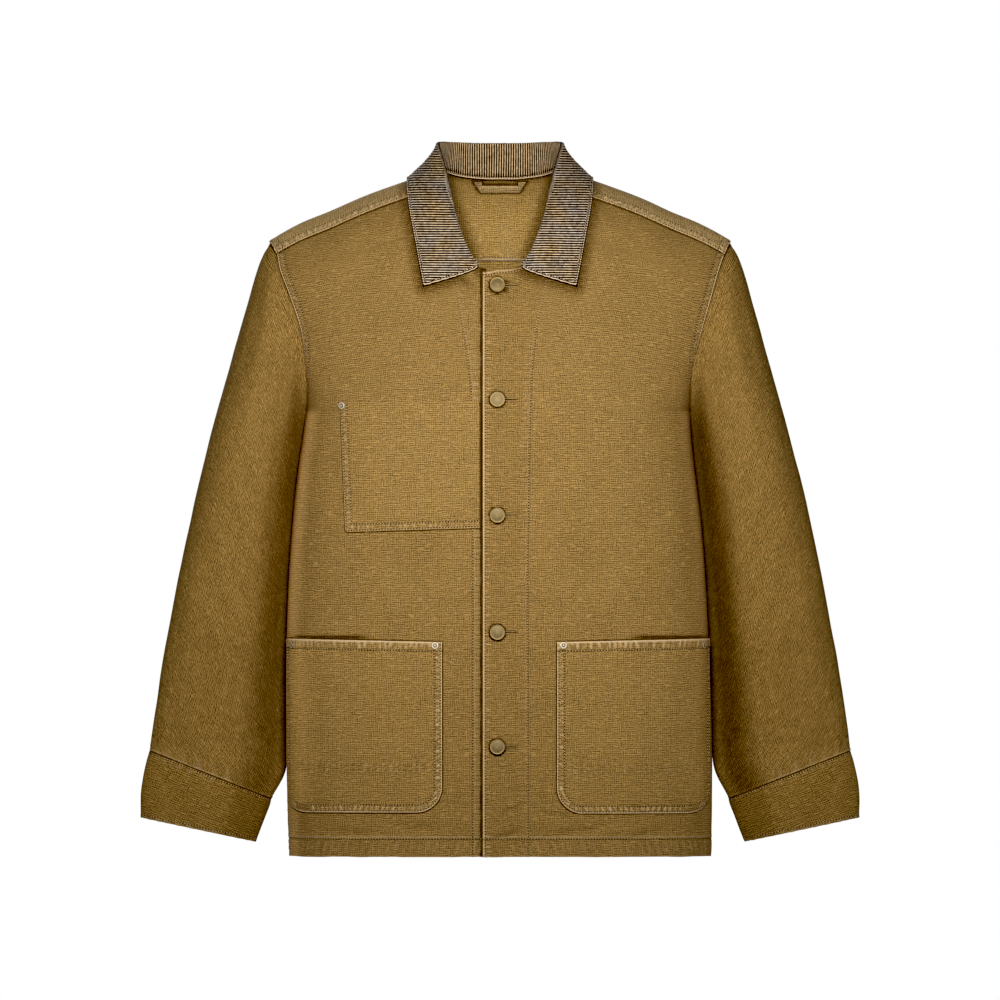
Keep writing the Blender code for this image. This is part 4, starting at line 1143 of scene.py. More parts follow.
def through(rows, at):
    """Rows read smoothly between their places."""
    slope = np.gradient(rows, axis=0)
    i = np.clip(np.floor(at).astype(int), 0, len(rows) - 2)
    t = (np.asarray(at) - i).reshape(-1, *[1] * (rows.ndim - 1))
    return (
        rows[i] * (1 + 2 * t) * (1 - t) ** 2
        + rows[i + 1] * t * t * (3 - 2 * t)
        + slope[i] * t * (1 - t) ** 2
        - slope[i + 1] * t * t * (1 - t)
    )


def ring(station, angles, side):
    outer_x, outer_z, inner_x, inner_z, front, back, outer_y, inner_y = station
    up, round_y = np.cos(angles), np.sin(angles)
    x = (outer_x + inner_x) / 2 + (outer_x - inner_x) / 2 * up
    z = (outer_z + inner_z) / 2 + (outer_z - inner_z) / 2 * up
    y = (outer_y + inner_y) / 2 + (outer_y - inner_y) / 2 * up
    deep = np.where(round_y > 0, front, back)
    return np.stack([side * x, y - deep * round_y, z], -1)


def tube_normals(grid):
    normals = grid_normals(grid, tube=True)
    away = grid - grid.mean(axis=1, keepdims=True)
    return normals * np.sign(np.sum(normals * away))


def round_lengths(grid):
    """Length round each ring from its first column, with the closing step."""
    closed = np.concatenate([grid, grid[:, :1]], axis=1)
    return run_lengths(closed)


def turn_apart(turns, at):
    return (turns - at + 180) % 360 - 180


def stops_along(table, angles, side, count, after, before, step):
    """Stations along a tube, close beside both its ends and even between them."""
    fine = np.linspace(0, len(table) - 1, count)
    spine = np.array([ring(s, angles, side).mean(axis=0) for s in through(table, fine)])
    gone = line_lengths(spine)
    stops = stations([(np.zeros(1), (), after), (gone[-1:], before, ())], step)[0]
    return np.interp(stops, gone, fine)


def lay_tube(grid):
    """A tube's normals, its length round by degree, its length along and how it lies
    when it is cut open and flat."""
    round_run, run_along = round_lengths(grid), lengths_down(grid)
    both = [round_run - round_run[:, -1:] / 2, np.concatenate([run_along, run_along[:, :1]], 1)]
    return tube_normals(grid), round_run[:, -1:] / 360, run_along, np.stack(both, -1)


SLEEVE_CANVAS = canvas_look("canvas_sleeve", tone=(0.288, 0.176, 0.058), contrast=0.95)
sleeve_ends = {}
for side, label in SIDES:
    column = -1 if side > 0 else 0
    front_edge = front_grids[side][:armhole_count, -1]
    back_edge = back_skin[:back_armhole, column]
    loop = np.concatenate([front_edge, back_edge[-2::-1], yoke_base[-2:0:-1, column]])
    loop[:, 0] -= side * START_INSIDE
    inward = 1 - START_SMALLER / np.hypot(loop[:, 1], loop[:, 2] - ARMHOLE_MIDDLE_Z)
    loop[:, 1] *= inward
    loop[:, 2] = ARMHOLE_MIDDLE_Z + (loop[:, 2] - ARMHOLE_MIDDLE_Z) * inward
    closed = np.concatenate([loop, loop[:1]])
    gone = line_lengths(closed)
    first = read_line(closed, gone, np.linspace(0, gone[-1], SLEEVE_AROUND + 1)[:-1])
    wide = np.where(first[:, 1] < 0, ARMHOLE_FRONT, ARMHOLE_BACK)
    angles = np.arctan2(-first[:, 1] / wide, (first[:, 2] - ARMHOLE_MIDDLE_Z) / ARMHOLE_REACH)
    angles = np.unwrap(angles)
    low_x = float(half_width(UNDERARM_Z, side))
    table = [(SHOULDER_HALF, SHOULDER_TIP_Z, low_x, UNDERARM_Z, ARMHOLE_FRONT, ARMHOLE_BACK, 0, 0)]
    for outer_x, outer_z, inner_z, *depths, inner_y in SLEEVE:
        behind = (1 - (inner_y / float(body("back", inner_z))) ** SQUARE) ** (1 / SQUARE)
        inner_x = float(half_width(inner_z, side)) * behind + SLEEVE_CLEAR
        table.append((outer_x, outer_z, inner_x, inner_z, *depths, inner_y))
    table = np.array(table + list(SLEEVE_END), float)
    bend = first - ring(table[0], angles, side)
    station = stops_along(table, angles, side, 301, CLOSE_SLEEVE, CLOSE_CUFF_SEAM, SLEEVE_STEP)
    shown = np.interp(station, range(len(CAP_SHARE) + 1), (*CAP_SHARE, 0))
    grid = np.array([ring(s, angles, side) + k * bend for s, k in zip(through(table, station), shown)])
    normals, per_degree, run_along, laid = lay_tube(grid)
    turns, rows = np.degrees(angles)[None], station[:, None]
    taken = np.zeros(grid.shape[:2])
    for at_station, turn, length, half, deep in DRAGS:
        near = np.clip(1 - ((rows - at_station) / length) ** 2, 0, 1)
        taken += deep * near * np.clip(1 - (turn_apart(turns, turn) / half) ** 2, 0, 1)
    for s0, turn0, s1, turn1, half, deep in SLEEVE_CREASES:
        along = (rows - s0) / (s1 - s0)
        off = turn_apart(turns, turn0 + (turn1 - turn0) * along + 6 * np.sin(5 * along)) * per_degree
        taken += deep * crease(off, half, along, 0.4)
    from_cuff = run_along[-1:] - run_along
    seed = 100 if side > 0 else 130
    around = turns * per_degree
    lift = 0.25 * crumple(around, run_along, 24, seed) - taken
    lift += 0.5 * crumple(around, run_along * 0.6, 60, seed + 1)
    start = smooth((26 - run_along) / 22)
    lift += start * 0.5 * uneven(around, 17, seed + 2) * smooth(run_along / 3)
    lift *= smooth((run_along + 0.5) / 3)
    end = smooth((18 - from_cuff) / 16)
    lift += end * 0.35 * uneven(around, 12, seed + 3) + 0.6 * smooth((3.4 - from_cuff) / 2)
    lift -= 0.35 * smooth((0.8 - from_cuff) / 0.8)
    wear_and_painted_light = edge_wear_and_painted_light(from_cuff, 0.35) + bar_wear(end * uneven(around, 12, seed + 3), 0.12)
    # painted shade on the side that faces the body, less on its innermost strip
    inward = -np.cos(np.radians(turns))
    toward_body = smooth((inward - 0.25) / 0.4) * (1 - 0.75 * smooth((inward - 0.75) / 0.2))
    wear_and_painted_light -= (0.72 if side > 0 else 0.5) * toward_body * smooth(run_along / 60)
    # painted shade in the gap at the armhole
    wear_and_painted_light -= smooth((4.6 - run_along) / 3)
    off_seam = turn_apart(turns, SLEEVE_SEAM_TURN) * per_degree
    seam, bars = double_seam(off_seam, run_along, ARMHOLE_ROWS, 5.2, seed + 4, 0.8, 0.45, 0.4)
    lift += seam + 0.5 * between(off_seam, -0.4, 10.5)
    wear_and_painted_light += bar_wear(bars) + 0.4 * groove(off_seam, -0.2, 0.6)
    skin = grid + normals * lift[..., None]
    piece = cloth(
        f"sleeve_{label}_canvas",
        skin,
        lining_of(grid - normals * taken[..., None], normals, CANVAS, 3, tube=True),
        SLEEVE_CANVAS,
        laid,
        np.clip(wear_and_painted_light, -1, 1),
        tube=True,
        inside=INSIDE_CANVAS_PAINTED_LIGHTER,
    )
    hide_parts(f"sleeve_{label}")
    seam_column = np.argmin(np.abs(turn_apart(turns, SLEEVE_SEAM_TURN)))
    way = 1 if angles[1] > angles[0] else -1
    pick = np.arange(len(skin))
    sewn = []
    for row in ARMHOLE_ROWS:
        off = seam_column + way * row / (per_degree[:, 0] * 360 / SLEEVE_AROUND)
        low = np.floor(off).astype(int)
        part = (off - low)[:, None]
        low, following = low % SLEEVE_AROUND, (low + 1) % SLEEVE_AROUND
        line = skin[pick, low] * (1 - part) + skin[pick, following] * part
        sewn.append((line[3:-2], normals[pick, low][3:-2]))
    sew(f"sleeve_{label}_stitches", sewn, BODY_THREAD, seed=seed)
    sleeve_ends[side] = angles

# Two wide cuffs, doubled canvas on a slanted seam, with one row of stitching below the
# seam and one above the turned edge.
CUFF_WALL = 1.9
CUFF = (
    (374.9, -609.3, 244.8, -660.8, 26, 28, -2, 4),
    (379.5, -625.0, 246.5, -668.0, 25, 26, -3, 3),
    (384.0, -652.0, 253.5, -686.0, 23, 24, -4, 1),
    (384.3, -681.0, 261.3, -707.0, 21, 22, -5, 0),
)
CUFF_SEAM_ROW = 2.0
CUFF_END_ROW = 3.4
CUFF_STEP = 2.2
CLOSE_CUFF_TOP = (0.5, 1.1, 2.0, 2.9, 4.2)
CLOSE_CUFF_END = (5.0, 4.2, 3.4, 2.6, 1.7, 0.8)
# creases: run from the seam and turn at both ends, half width, depth
CUFF_CREASES = (
    (22, 150, 30, 84, 5.0, 0.8),
    (46, 172, 36, 96, 5.0, 0.7),
    (12, 20, 30, 60, 6.0, 0.6),
    (16, 300, 40, 236, 6.0, 0.8),
    (8, 120, 26, 104, 4.0, 0.5),
)
CUFF_CANVAS = canvas_look("canvas_cuff", tone=(0.284, 0.172, 0.054), contrast=0.7)
for side, label in SIDES:
    angles, table = sleeve_ends[side], np.array(CUFF, float)
    station = stops_along(table, angles, side, 81, CLOSE_CUFF_TOP, CLOSE_CUFF_END, CUFF_STEP)
    grid = np.array([ring(s, angles, side) for s in through(table, station)])
    normals, per_degree, run_along, laid = lay_tube(grid)
    turns = np.degrees(angles)[None]
    around = turns * per_degree
    from_end = run_along[-1:] - run_along
    seed = 160 if side > 0 else 180
    lift = soft(around, run_along, seed, (0.2, 16), (0.35, 42))
    for run0, turn0, run1, turn1, half, deep in CUFF_CREASES:
        along = turn_apart(turns, turn0) / turn_apart(turn1, turn0)
        off = run_along - (run0 + (run1 - run0) * along)
        lift -= deep * crease(off, half, along, 0.4)
    lift -= 0.45 * groove(run_along, CUFF_SEAM_ROW, 0.7) + 0.4 * groove(from_end, CUFF_END_ROW, 0.7)
    lift -= 0.4 * smooth((0.8 - from_end) / 0.8)
    bars = uneven(around + 0.4 * run_along, 7.5, seed + 2) * smooth((9 - run_along) / 7)
    lift += 0.25 * bars
    rope = uneven(around + 0.6 * from_end, 8.5, seed + 3) * smooth((7 - from_end) / 6)
    lift += 0.35 * rope
    # painted shade on the side that faces the body, and in the gap under the sleeve's end
    toward_body = smooth((-0.25 - np.cos(np.radians(turns))) / 0.4)
    wear_and_painted_light = bar_wear(bars, 0.25) + bar_wear(rope, 0.3) + 0.5 * smooth((1.1 - from_end) / 0.8)
    wear_and_painted_light -= 1.0 * smooth((1.4 - run_along) / 1.2) + 0.3 * toward_body
    skin = grid + normals * lift[..., None]
    skin[-3:] += (skin[-1:] - skin[-4:-3]) * 0.12 * uneven(around, 8.5, seed + 3)[-1:, :, None]
    piece = cloth(
        f"cuff_{label}_canvas",
        skin,
        lining_of(grid, normals, CUFF_WALL, 2, tube=True),
        CUFF_CANVAS,
        laid,
        np.clip(wear_and_painted_light, -1, 1),
        tube=True,
        inside=INSIDE_CANVAS_PAINTED_LIGHTER,
    )
    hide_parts(f"cuff_{label}")
    sewn = []
    for at in (CUFF_SEAM_ROW, run_along[-1] - CUFF_END_ROW):
        row = sewn_down(skin, normals, run_along, at)
        sewn.append([np.concatenate([line, line[:1]]) for line in row])
    sew(f"cuff_{label}_stitches", sewn, BODY_THREAD, seed=seed)

# Three patch pockets cut from the same canvas and sewn flat on the fronts with two
# rows round the edge, the lower two with a turned hem along the top.  The breast
# pocket's inner edge runs in under the front edge's facing.
POCKET_CLEAR = 0.5
POCKET_ROWS = (2.0, 8.2)
POCKET_HEM = 10.6
OUTER_CORNER = 1.75
CLOSE_POCKET = (0.4, 1.0, 2.0, 3.0, 4.1, 5.2, 6.3, 7.3, 8.2, 9.2, 10.8)
CLOSE_MOUTH = (0.5, 1.3, 3.0, 5.0, 7.0, 9.0, 10.6, 12.2)
POCKET_STEP = 2.6
# faint raised lines across a lower pocket, and the soft fold above its foot
FAINT_ROWS = (134.5, 140.0)
FOOT_FOLD = (168, 178)
# name, side, inner x, outer x at the top and bottom, top z, bottom z, corner, and
# whether the inner edge is sewn down
POCKETS = (
    ("chest_pocket", -1, 20.5, 170.3, 165.0, -236.0, -376.0, 3.0, False),
    ("pocket_right", -1, 61.5, 227.0, 225.6, -489.0, -675.0, 28.0, True),
    ("pocket_left", 1, 60.5, 222.4, 223.6, -489.0, -676.0, 28.0, True),
)
# painted light: a tone a little lighter than the fronts' canvas, though it is the same cloth
POCKET_CANVAS_PAINTED_LIGHTER = canvas_look("canvas_pocket", tone=(0.320, 0.200, 0.071))


def front_at(x, z, side):
    return np.stack([x, depth(x, z, -1) + lap(x, z, side), z], -1)


def front_facing(x, z, side):
    """The way the front's outer side faces at a place."""
    step = 0.05
    along_x = front_at(x + step, z, side) - front_at(x - step, z, side)
    along_z = front_at(x, z + step, side) - front_at(x, z - step, side)
    facing = unit(np.cross(along_x, along_z))
    return facing * np.where(facing[..., 1:2] > 0, -1, 1)


def tilt(x, low, inner, outer, inner_sewn):
    """The lower pockets' mouths drop towards the middle, the breast pocket's foot rises."""
    near = 1 - (x - inner) / (outer - inner)
    return near * (-3.4 * (1 - low) if inner_sewn else 4.5 * low)


def outline(a, b, width, height, corner, inner_sewn):
    """Distance in from a pocket's sewn edge and the run along that edge."""
    a2 = width - a
    near = np.where(a < a2, a, a2) if inner_sewn else a2
    long = np.where(a < a2, 1, OUTER_CORNER) if inner_sewn else 1
    inside = (b < corner) & (near < corner * long)
    in_from, up_from = corner - near / long, corner - b
    reach = np.maximum(np.hypot(in_from, up_from), 1e-6)
    distance = (corner - reach) * np.hypot(long * in_from, up_from) / reach
    distance = np.where(inside, distance, np.minimum(near, b))
    turn = np.arctan2(corner - b, np.maximum(corner - near, 1e-6))
    quarter = corner * math.pi / 2
    run = np.where(inside, corner * turn, np.where(near < b, corner - b, quarter + near - corner))
    return distance, np.where(a < a2, run, run + 5000.0)


for name, side, inner_x, outer_top, outer_bottom, top_z, bottom_z, corner, inner_sewn in POCKETS:
    tall = top_z - bottom_z
    turned = np.linspace(0, math.pi / 2, 15)
    straight = stations([(np.zeros(1), (), CLOSE_MOUTH), (np.full(1, tall - corner), (), ())], POCKET_STEP)[0]
    if corner > 5:
        bend_low = tall - corner + corner * np.sin(turned[1:])
        below = np.sort(np.concatenate([np.append(straight, bend_low), tall - np.array(CLOSE_POCKET)]))
    else:
        below = np.sort(np.append(straight[straight < tall - 12], tall - np.array((0.0, *CLOSE_POCKET))))
    below = below[np.append(True, np.diff(below) > 0.12)]
    z = top_z - below
    b = tall - below
    reach = np.clip(corner - b, 0, corner)
    inset = corner - np.sqrt(np.maximum(corner**2 - reach**2, 0))
    outer = outer_top + (outer_bottom - outer_top) * below / tall
    fine = 1 - (1 - np.linspace(0, 1, 300)) ** 1.5
    xs = side * (inner_x + (outer[:, None] - inner_x) * fine[None])
    coarse = front_at(xs, np.repeat(z[:, None], 300, 1), side)
    gone = run_lengths(coarse)
    width = gone[:, -1]
    low = inset if inner_sewn else 0 * inset
    outer_low = inset * OUTER_CORNER if inner_sewn else inset
    places = stations([(low, (), CLOSE_POCKET), (width - outer_low, CLOSE_POCKET, ())], POCKET_STEP)
    x = read_rows(places, gone, xs)
    drop = tilt(x, below[:, None] / tall, side * inner_x, side * outer_top, inner_sewn)
    grid = front_at(x, z[:, None] + drop, side)
    normals = front_facing(x, grid[..., 2], side)
    distance, run = outline(places, b[:, None], width[:, None], tall, corner, inner_sewn)
    down_run = below[:, None] + 0 * places
    seed = 200 + 10 * len(name) + side
    seam, bars = double_seam(distance, run + 0.35 * distance, POCKET_ROWS, 5.6, seed + 2, 0.7, 0.45, 0.45)
    lift = soft(places, down_run, seed, (0.2, 18), (0.35, 46)) + seam - 0.45 * smooth((0.9 - distance) / 0.9)
    wear_and_painted_light = bar_wear(bars, 0.85 if inner_sewn else 0.45) + edge_wear_and_painted_light(distance, 1.0 if inner_sewn else 0.3)
    # painted shade in the stitch grooves
    wear_and_painted_light -= 0.5 * (groove(distance, POCKET_ROWS[0], 0.5) + groove(distance, POCKET_ROWS[1], 0.6))
    hem = 1.0 if inner_sewn else 0.0
    lift -= hem * 0.45 * groove(down_run, POCKET_HEM, 0.8)
    bars = uneven(places + 0.3 * down_run, 5.8, seed + 3) * between(down_run, 1.0, POCKET_HEM - 0.5)
    lift += hem * (0.45 * bars + 0.4 * smooth((POCKET_HEM - down_run) / 2)) - 0.5 * smooth(1.0 - down_run)
    # the hem's pale bars and edge, painted shade in its stitch groove
    wear_and_painted_light += hem * (bar_wear(bars, 0.7) + edge_wear_and_painted_light(down_run, 1.0) - 0.5 * groove(down_run, POCKET_HEM, 0.7))
    if inner_sewn:
        second = sum(groove(down_run, row, 1.2) for row in FAINT_ROWS)
        lift += 0.25 * second
        wear_and_painted_light += second * (0.7 * np.clip(uneven(places, 4.4, seed + 4), 0, 1) - 0.25)
        low_fold = smooth((down_run - FOOT_FOLD[0]) / 5) * smooth((FOOT_FOLD[1] - down_run) / 6)
        low_fold *= smooth((places - 60) / 20)
        lift += 0.5 * low_fold * smooth((width[:, None] - 40 - places) / 20)
    else:
        lift -= 1.2 * smooth((9 - down_run) / 9)
        # painted shade along the breast pocket's inner edge, under the facing
        wear_and_painted_light -= 1.6 * smooth((2.4 - places) / 1.2)
    thick = POCKET_CLEAR + CANVAS
    skin = grid + normals * (thick + lift)[..., None]
    picked_rows = np.round(np.linspace(0, len(z) - 1, len(z) // 3)).astype(int)
    picked_cols = np.round(np.linspace(0, x.shape[1] - 1, x.shape[1] // 3)).astype(int)
    spread = np.array([1 + 2 * RIM / (outer_top - inner_x), 1 + 2 * RIM / tall])
    middle = np.array([side * (inner_x + outer_top) / 2, (top_z + bottom_z) / 2])
    base = middle + (grid[..., [0, 2]] - middle) * spread
    if not inner_sewn:
        base[..., 1] = np.minimum(base[..., 1], grid[..., 2])
    limit = 0.998 * half_width(base[..., 1], side)
    base[..., 0] = np.clip(base[..., 0], -limit, limit)
    lining = front_at(base[..., 0], base[..., 1], side) + normals * 0.15
    lining = lining[picked_rows][:, picked_cols]
    laid, wear_and_painted_light = np.stack([places, -down_run], -1), np.clip(wear_and_painted_light, -1, 1)
    # the spread lining shows round the pocket as a rim of painted shadow
    shade = np.full(lining.shape[:2], -1.0)
    shade[0] *= hem
    piece = cloth(f"{name}_canvas", skin, lining, POCKET_CANVAS_PAINTED_LIGHTER, laid, wear_and_painted_light, inside_wear_and_painted_light=shade)
    if inner_sewn:
        # painted light along the outer side
        paint_light_on(piece, 0.36 * SIDE_PAINTED_LIGHT[side] * smooth((60 + places - width[:, None]) / 38))
    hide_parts(name)
    under = f"front_{'left' if side > 0 else 'right'}_canvas"
    sewn = []
    for row in POCKET_ROWS:
        arc = np.linspace(0, math.pi / 2, 14)
        bend = max(corner - row, 0.01)
        centre = max(corner, row)
        side_b = np.linspace(tall - 0.8, centre, 60)
        arc_b, arc_in = centre - bend * np.sin(arc), centre - bend * np.cos(arc)
        path_b = np.concatenate([side_b, arc_b])
        path_in = np.concatenate([0 * side_b + row, arc_in])
        width_at = np.interp(tall - path_b, below, width)
        outer_a = width_at[::-1] - path_in[::-1]
        if inner_sewn:
            wide = corner * OUTER_CORNER
            arc_in = wide - (wide - row) * np.cos(arc)
            outer_a = (width_at - np.concatenate([0 * side_b + row, arc_in]))[::-1]
            across_a = np.linspace(centre, outer_a[0], 80)
            path_a = np.concatenate([path_in, across_a[1:-1], outer_a])
            path_b = np.concatenate([path_b, np.full(78, row), path_b[::-1]])
        else:
            path_a = np.concatenate([np.linspace(1.0, outer_a[0], 80)[:-1], outer_a])
            path_b = np.concatenate([np.full(79, row), path_b[::-1]])
        path_z = bottom_z + path_b
        near_row = np.array([np.argmin(np.abs(z - level)) for level in path_z])
        path_x = np.array([np.interp(p, gone[r], xs[r]) for p, r in zip(path_a, near_row)])
        path_z = path_z + tilt(path_x, 1 - path_b / tall, side * inner_x, side * outer_top, inner_sewn)
        facing_out = front_facing(path_x, path_z, side)
        line = front_at(path_x, path_z, side) + facing_out * (thick - 0.25)
        sewn.append((line, facing_out))
    if inner_sewn:
        sewn.append(sewn_down(skin, normals, down_run, POCKET_HEM))
    sew(f"{name}_stitches", sewn, BODY_THREAD, seed=seed)

# The collar, cotton corduroy cut with its cords down the stand and across the leaf,
# turned at the edges, sewn round with one row and bound inside at the neck seam.
COLLAR_WALL = 1.8
FOLD_RADIUS = 2.2
COLLAR_CLEAR = 1.0
COLLAR_END_X = 24.0
COLLAR_COLUMNS = ("along", "fold_x", "fold_y", "fold_z", "edge_x", "edge_y", "edge_z", "faces")
COLLAR = (
    (0.00, 0.0, 52.0, 41.0, 0.0, 84.0, -26.0, 90),
    (0.14, 27.0, 49.0, 41.3, 36.0, 81.0, -24.0, 80),
    (0.28, 52.0, 33.0, 42.0, 72.0, 58.0, -15.0, 50),
    (0.38, 64.0, 12.0, 42.0, 94.0, 26.0, -2.0, 18),
    (0.48, 66.5, -8.0, 39.0, 99.0, 2.0, 3.5, -5),
    (0.60, 60.5, -32.0, 18.0, 98.5, -28.0, -6.0, -25),
    (0.72, 53.5, -52.0, -10.0, 95.5, -56.0, -34.0, -45),
    (0.84, 45.5, -68.0, -42.0, 91.0, -72.0, -62.0, -65),
    (0.93, 36.0, -76.0, -68.0, 86.5, -78.0, -88.0, -80),
    (1.00, 25.5, -81.0, -88.5, 81.7, -83.0, -112.5, -88),
)
COLLAR_SECTIONS = 22
LEAF_ROW = 6
CORD_PITCH = 2.6
CORD_TURN = 0.25
CORD_HEIGHT = 0.42
CORD_COLUMNS = 1360
BINDING = 2.8
COLLAR_STITCH = 2.7
LEAF_SHADE = 16.0


def body_samples():
    """Points and normals of the body round the neck, for what lies on it."""
    share, turn = np.meshgrid(np.linspace(-0.62, 0.62, 111), np.linspace(-2.3, 1.9, 190))
    points = over_shoulder(share, turn)
    along_s = over_shoulder(share + 1e-3, turn) - over_shoulder(share - 1e-3, turn)
    along_t = over_shoulder(share, turn + 1e-3) - over_shoulder(share, turn - 1e-3)
    normal = np.cross(along_s, along_t)
    normal /= np.maximum(np.linalg.norm(normal, axis=-1, keepdims=True), 1e-12)
    middle = np.stack([0.5 * points[..., 0], 0 * points[..., 0], np.minimum(points[..., 2], -90.0)], -1)
    normal = np.where(np.sum(normal * (points - middle), -1, keepdims=True) < 0, -normal, normal)
    return points.reshape(-1, 3), normal.reshape(-1, 3)


def settle(points, clear, samples, snap=False):
    """Points moved out of the body until they clear it, or onto that clearance."""
    spots, facing = samples
    flat = points.reshape(-1, 3).copy()
    for i, point in enumerate(flat):
        nearest = np.argmin(((spots - point) ** 2).sum(axis=1))
        gap = (point - spots[nearest]) @ facing[nearest]
        if snap or gap < clear:
            flat[i] = point + facing[nearest] * (clear - gap)
    return flat.reshape(points.shape)


def collar_half(side, samples):
    """Sections of half the collar: stand, fold and leaf, from the neck seam out."""
    shares = np.linspace(0, 1, COLLAR_SECTIONS)
    given = {name: read(COLLAR, shares, k) for k, name in enumerate(COLLAR_COLUMNS)}
    neck = np.array([over_shoulder(side * x / SHOULDER_HALF, turn) for x, turn in YOKE_NECK])
    near = np.array([60.0, 57.0, 54.0, 50.0, 45.0, 38.0, 31.0, COLLAR_END_X])
    low = np.stack([side * near, depth(side * near, front_top(near), -1), front_top(near)], -1)
    line = np.concatenate([neck, low])
    gone = line_lengths(line)
    seam = read_line(line, gone, shares * gone[-1])
    seam = seam + np.array([0, 0, SEAM + 1.0])
    fold = np.stack([side * given["fold_x"], given["fold_y"], given["fold_z"]], -1)
    edge = np.stack([side * given["edge_x"], given["edge_y"], given["edge_z"]], -1)
    edge = settle(edge, COLLAR_WALL + COLLAR_CLEAR, samples, snap=True)
    faces = np.radians(given["faces"])
    faces = np.stack([side * np.cos(faces), np.sin(faces), 0 * faces], -1)
    up = unit(fold - seam)
    out = unit(faces - up * np.sum(faces * up, -1, keepdims=True))
    centre = fold - up * FOLD_RADIUS
    start = centre - out * FOLD_RADIUS
    rows = [seam, seam + (start - seam) * 0.5]
    for angle in (0, 45, 90, 135, 180):
        a = math.radians(angle)
        rows.append(centre + FOLD_RADIUS * (up * math.sin(a) - out * math.cos(a)))
    lift = centre + out * (FOLD_RADIUS + 3.0) - up * 10.0
    for t in (0.22, 0.45, 0.7, 1.0):
        rows.append(rows[6] * (1 - t) ** 2 + lift * 2 * t * (1 - t) + edge * t * t)
    made = np.array(rows)
    made[7:] = settle(made[7:], COLLAR_WALL + COLLAR_CLEAR, samples)
    return made


neck_samples = body_samples()
coarse = np.concatenate([collar_half(-1, neck_samples)[:, :0:-1], collar_half(1, neck_samples)], axis=1)
middle = COLLAR_SECTIONS - 1
columns = np.linspace(0, 2 * middle, CORD_COLUMNS + 1)
stand_rows = np.concatenate([[0, 0.04, 0.09, 0.15], np.linspace(0.2, 2.0, 11)])
fold_rows = np.linspace(2.0, 6.0, 11)[1:]
leaf_rows = np.concatenate([np.linspace(6.0, 9.6, 21)[1:], [9.72, 9.82, 9.88, 9.93, 9.965, 10.0]])
rows = np.concatenate([stand_rows, fold_rows, leaf_rows])
grid = through(coarse, rows)
grid = through(grid.transpose(1, 0, 2), columns).transpose(1, 0, 2)
normals = grid_normals(grid)
top = int(np.argmin(np.abs(rows - 4.0)))
if normals[top, CORD_COLUMNS // 2, 2] < 0:
    normals = -normals
share = np.abs(columns / middle - 1)
fold_line, edge_line = grid[top], grid[-1]


def out_from_middle(line):
    gone = line_lengths(line)
    return gone - gone[CORD_COLUMNS // 2]


fold_run, edge_run = out_from_middle(fold_line), out_from_middle(edge_line)
leaf_share = np.clip((rows - LEAF_ROW) / 4.0, 0, 1)[:, None]
back_cord = (1 - leaf_share) * fold_run[None] + leaf_share * edge_run[None]
halfway = int(np.argmin(np.abs(leaf_share[:, 0] - 0.5)))
front_cord = np.zeros(back_cord.shape)
for half in (columns <= middle, columns > middle):
    turn_at = int(np.argmin(np.abs(share - CORD_TURN) + 9 * ~half))
    down_leaf = (grid[halfway, turn_at, 2] - grid[..., 2]) * np.sign(columns - middle)[None]
    front_cord[:, half] = (back_cord[halfway, turn_at] + down_leaf)[:, half]
turned_over = smooth((share[None] - CORD_TURN + 0.09) / 0.16) * smooth((rows[:, None] - 4.3) / 0.5)
within = smooth((4.3 - rows[:, None]) / 0.6)
back_cord = back_cord * (1 - within) + (grid[..., 0] + (fold_run - fold_line[:, 0])[None]) * within
cord_run = back_cord * (1 - turned_over) + front_cord * turned_over
from_seam = lengths_down(grid)
from_edge = from_seam[-1:] - from_seam
from_end = run_lengths(grid)
from_end = np.minimum(from_end, from_end[:, -1:] - from_end)
from_rim = np.where(leaf_share > 0.02, np.minimum(from_edge, from_end), from_end)
cord_run = cord_run + 0.5 * crumple(cord_run, from_seam, 30, 301)
ribs = 0.5 + 0.5 * np.cos(2 * np.pi * cord_run / CORD_PITCH)
plain = np.maximum(smooth((1.6 - from_rim) / 0.4), smooth((BINDING - from_seam) / 0.3))
ribs_shown = ribs * (1 - plain) + 0.85 * plain
lift = CORD_HEIGHT * ribs_shown + 0.2 * crumple(cord_run, from_seam, 22, 302)
lift += 0.35 * smooth((2.0 - from_rim)) - 0.6 * smooth((0.6 - from_rim) / 0.6)
lift -= 0.5 * groove(from_rim, COLLAR_STITCH, 0.7)
puckers = uneven(fold_run[None] + 0 * from_rim, 4.5, 303) * smooth((7 - from_rim) / 5)
lift += 0.22 * puckers
lift -= 0.5 * groove(from_seam, BINDING + 0.3, 0.6)
skin = grid + normals * lift[..., None]
# each pair runs from the warm tone behind, partly painted light on the shaded stand, to the greyer, washed
# one in front; the pale crests are rubbed wear and painted highlight, the dark valleys painted shade
CREST_WEAR_AND_HIGHLIGHT_TONES = ((0.98, 0.71, 0.42), (0.88, 0.76, 0.63))
VALLEY_PAINTED_SHADE_TONES = ((0.024, 0.011, 0.003), (0.022, 0.013, 0.011))
CREST_START = 0.66
CREST_SOFT = 0.34
PLAIN_SHADE = 0.95


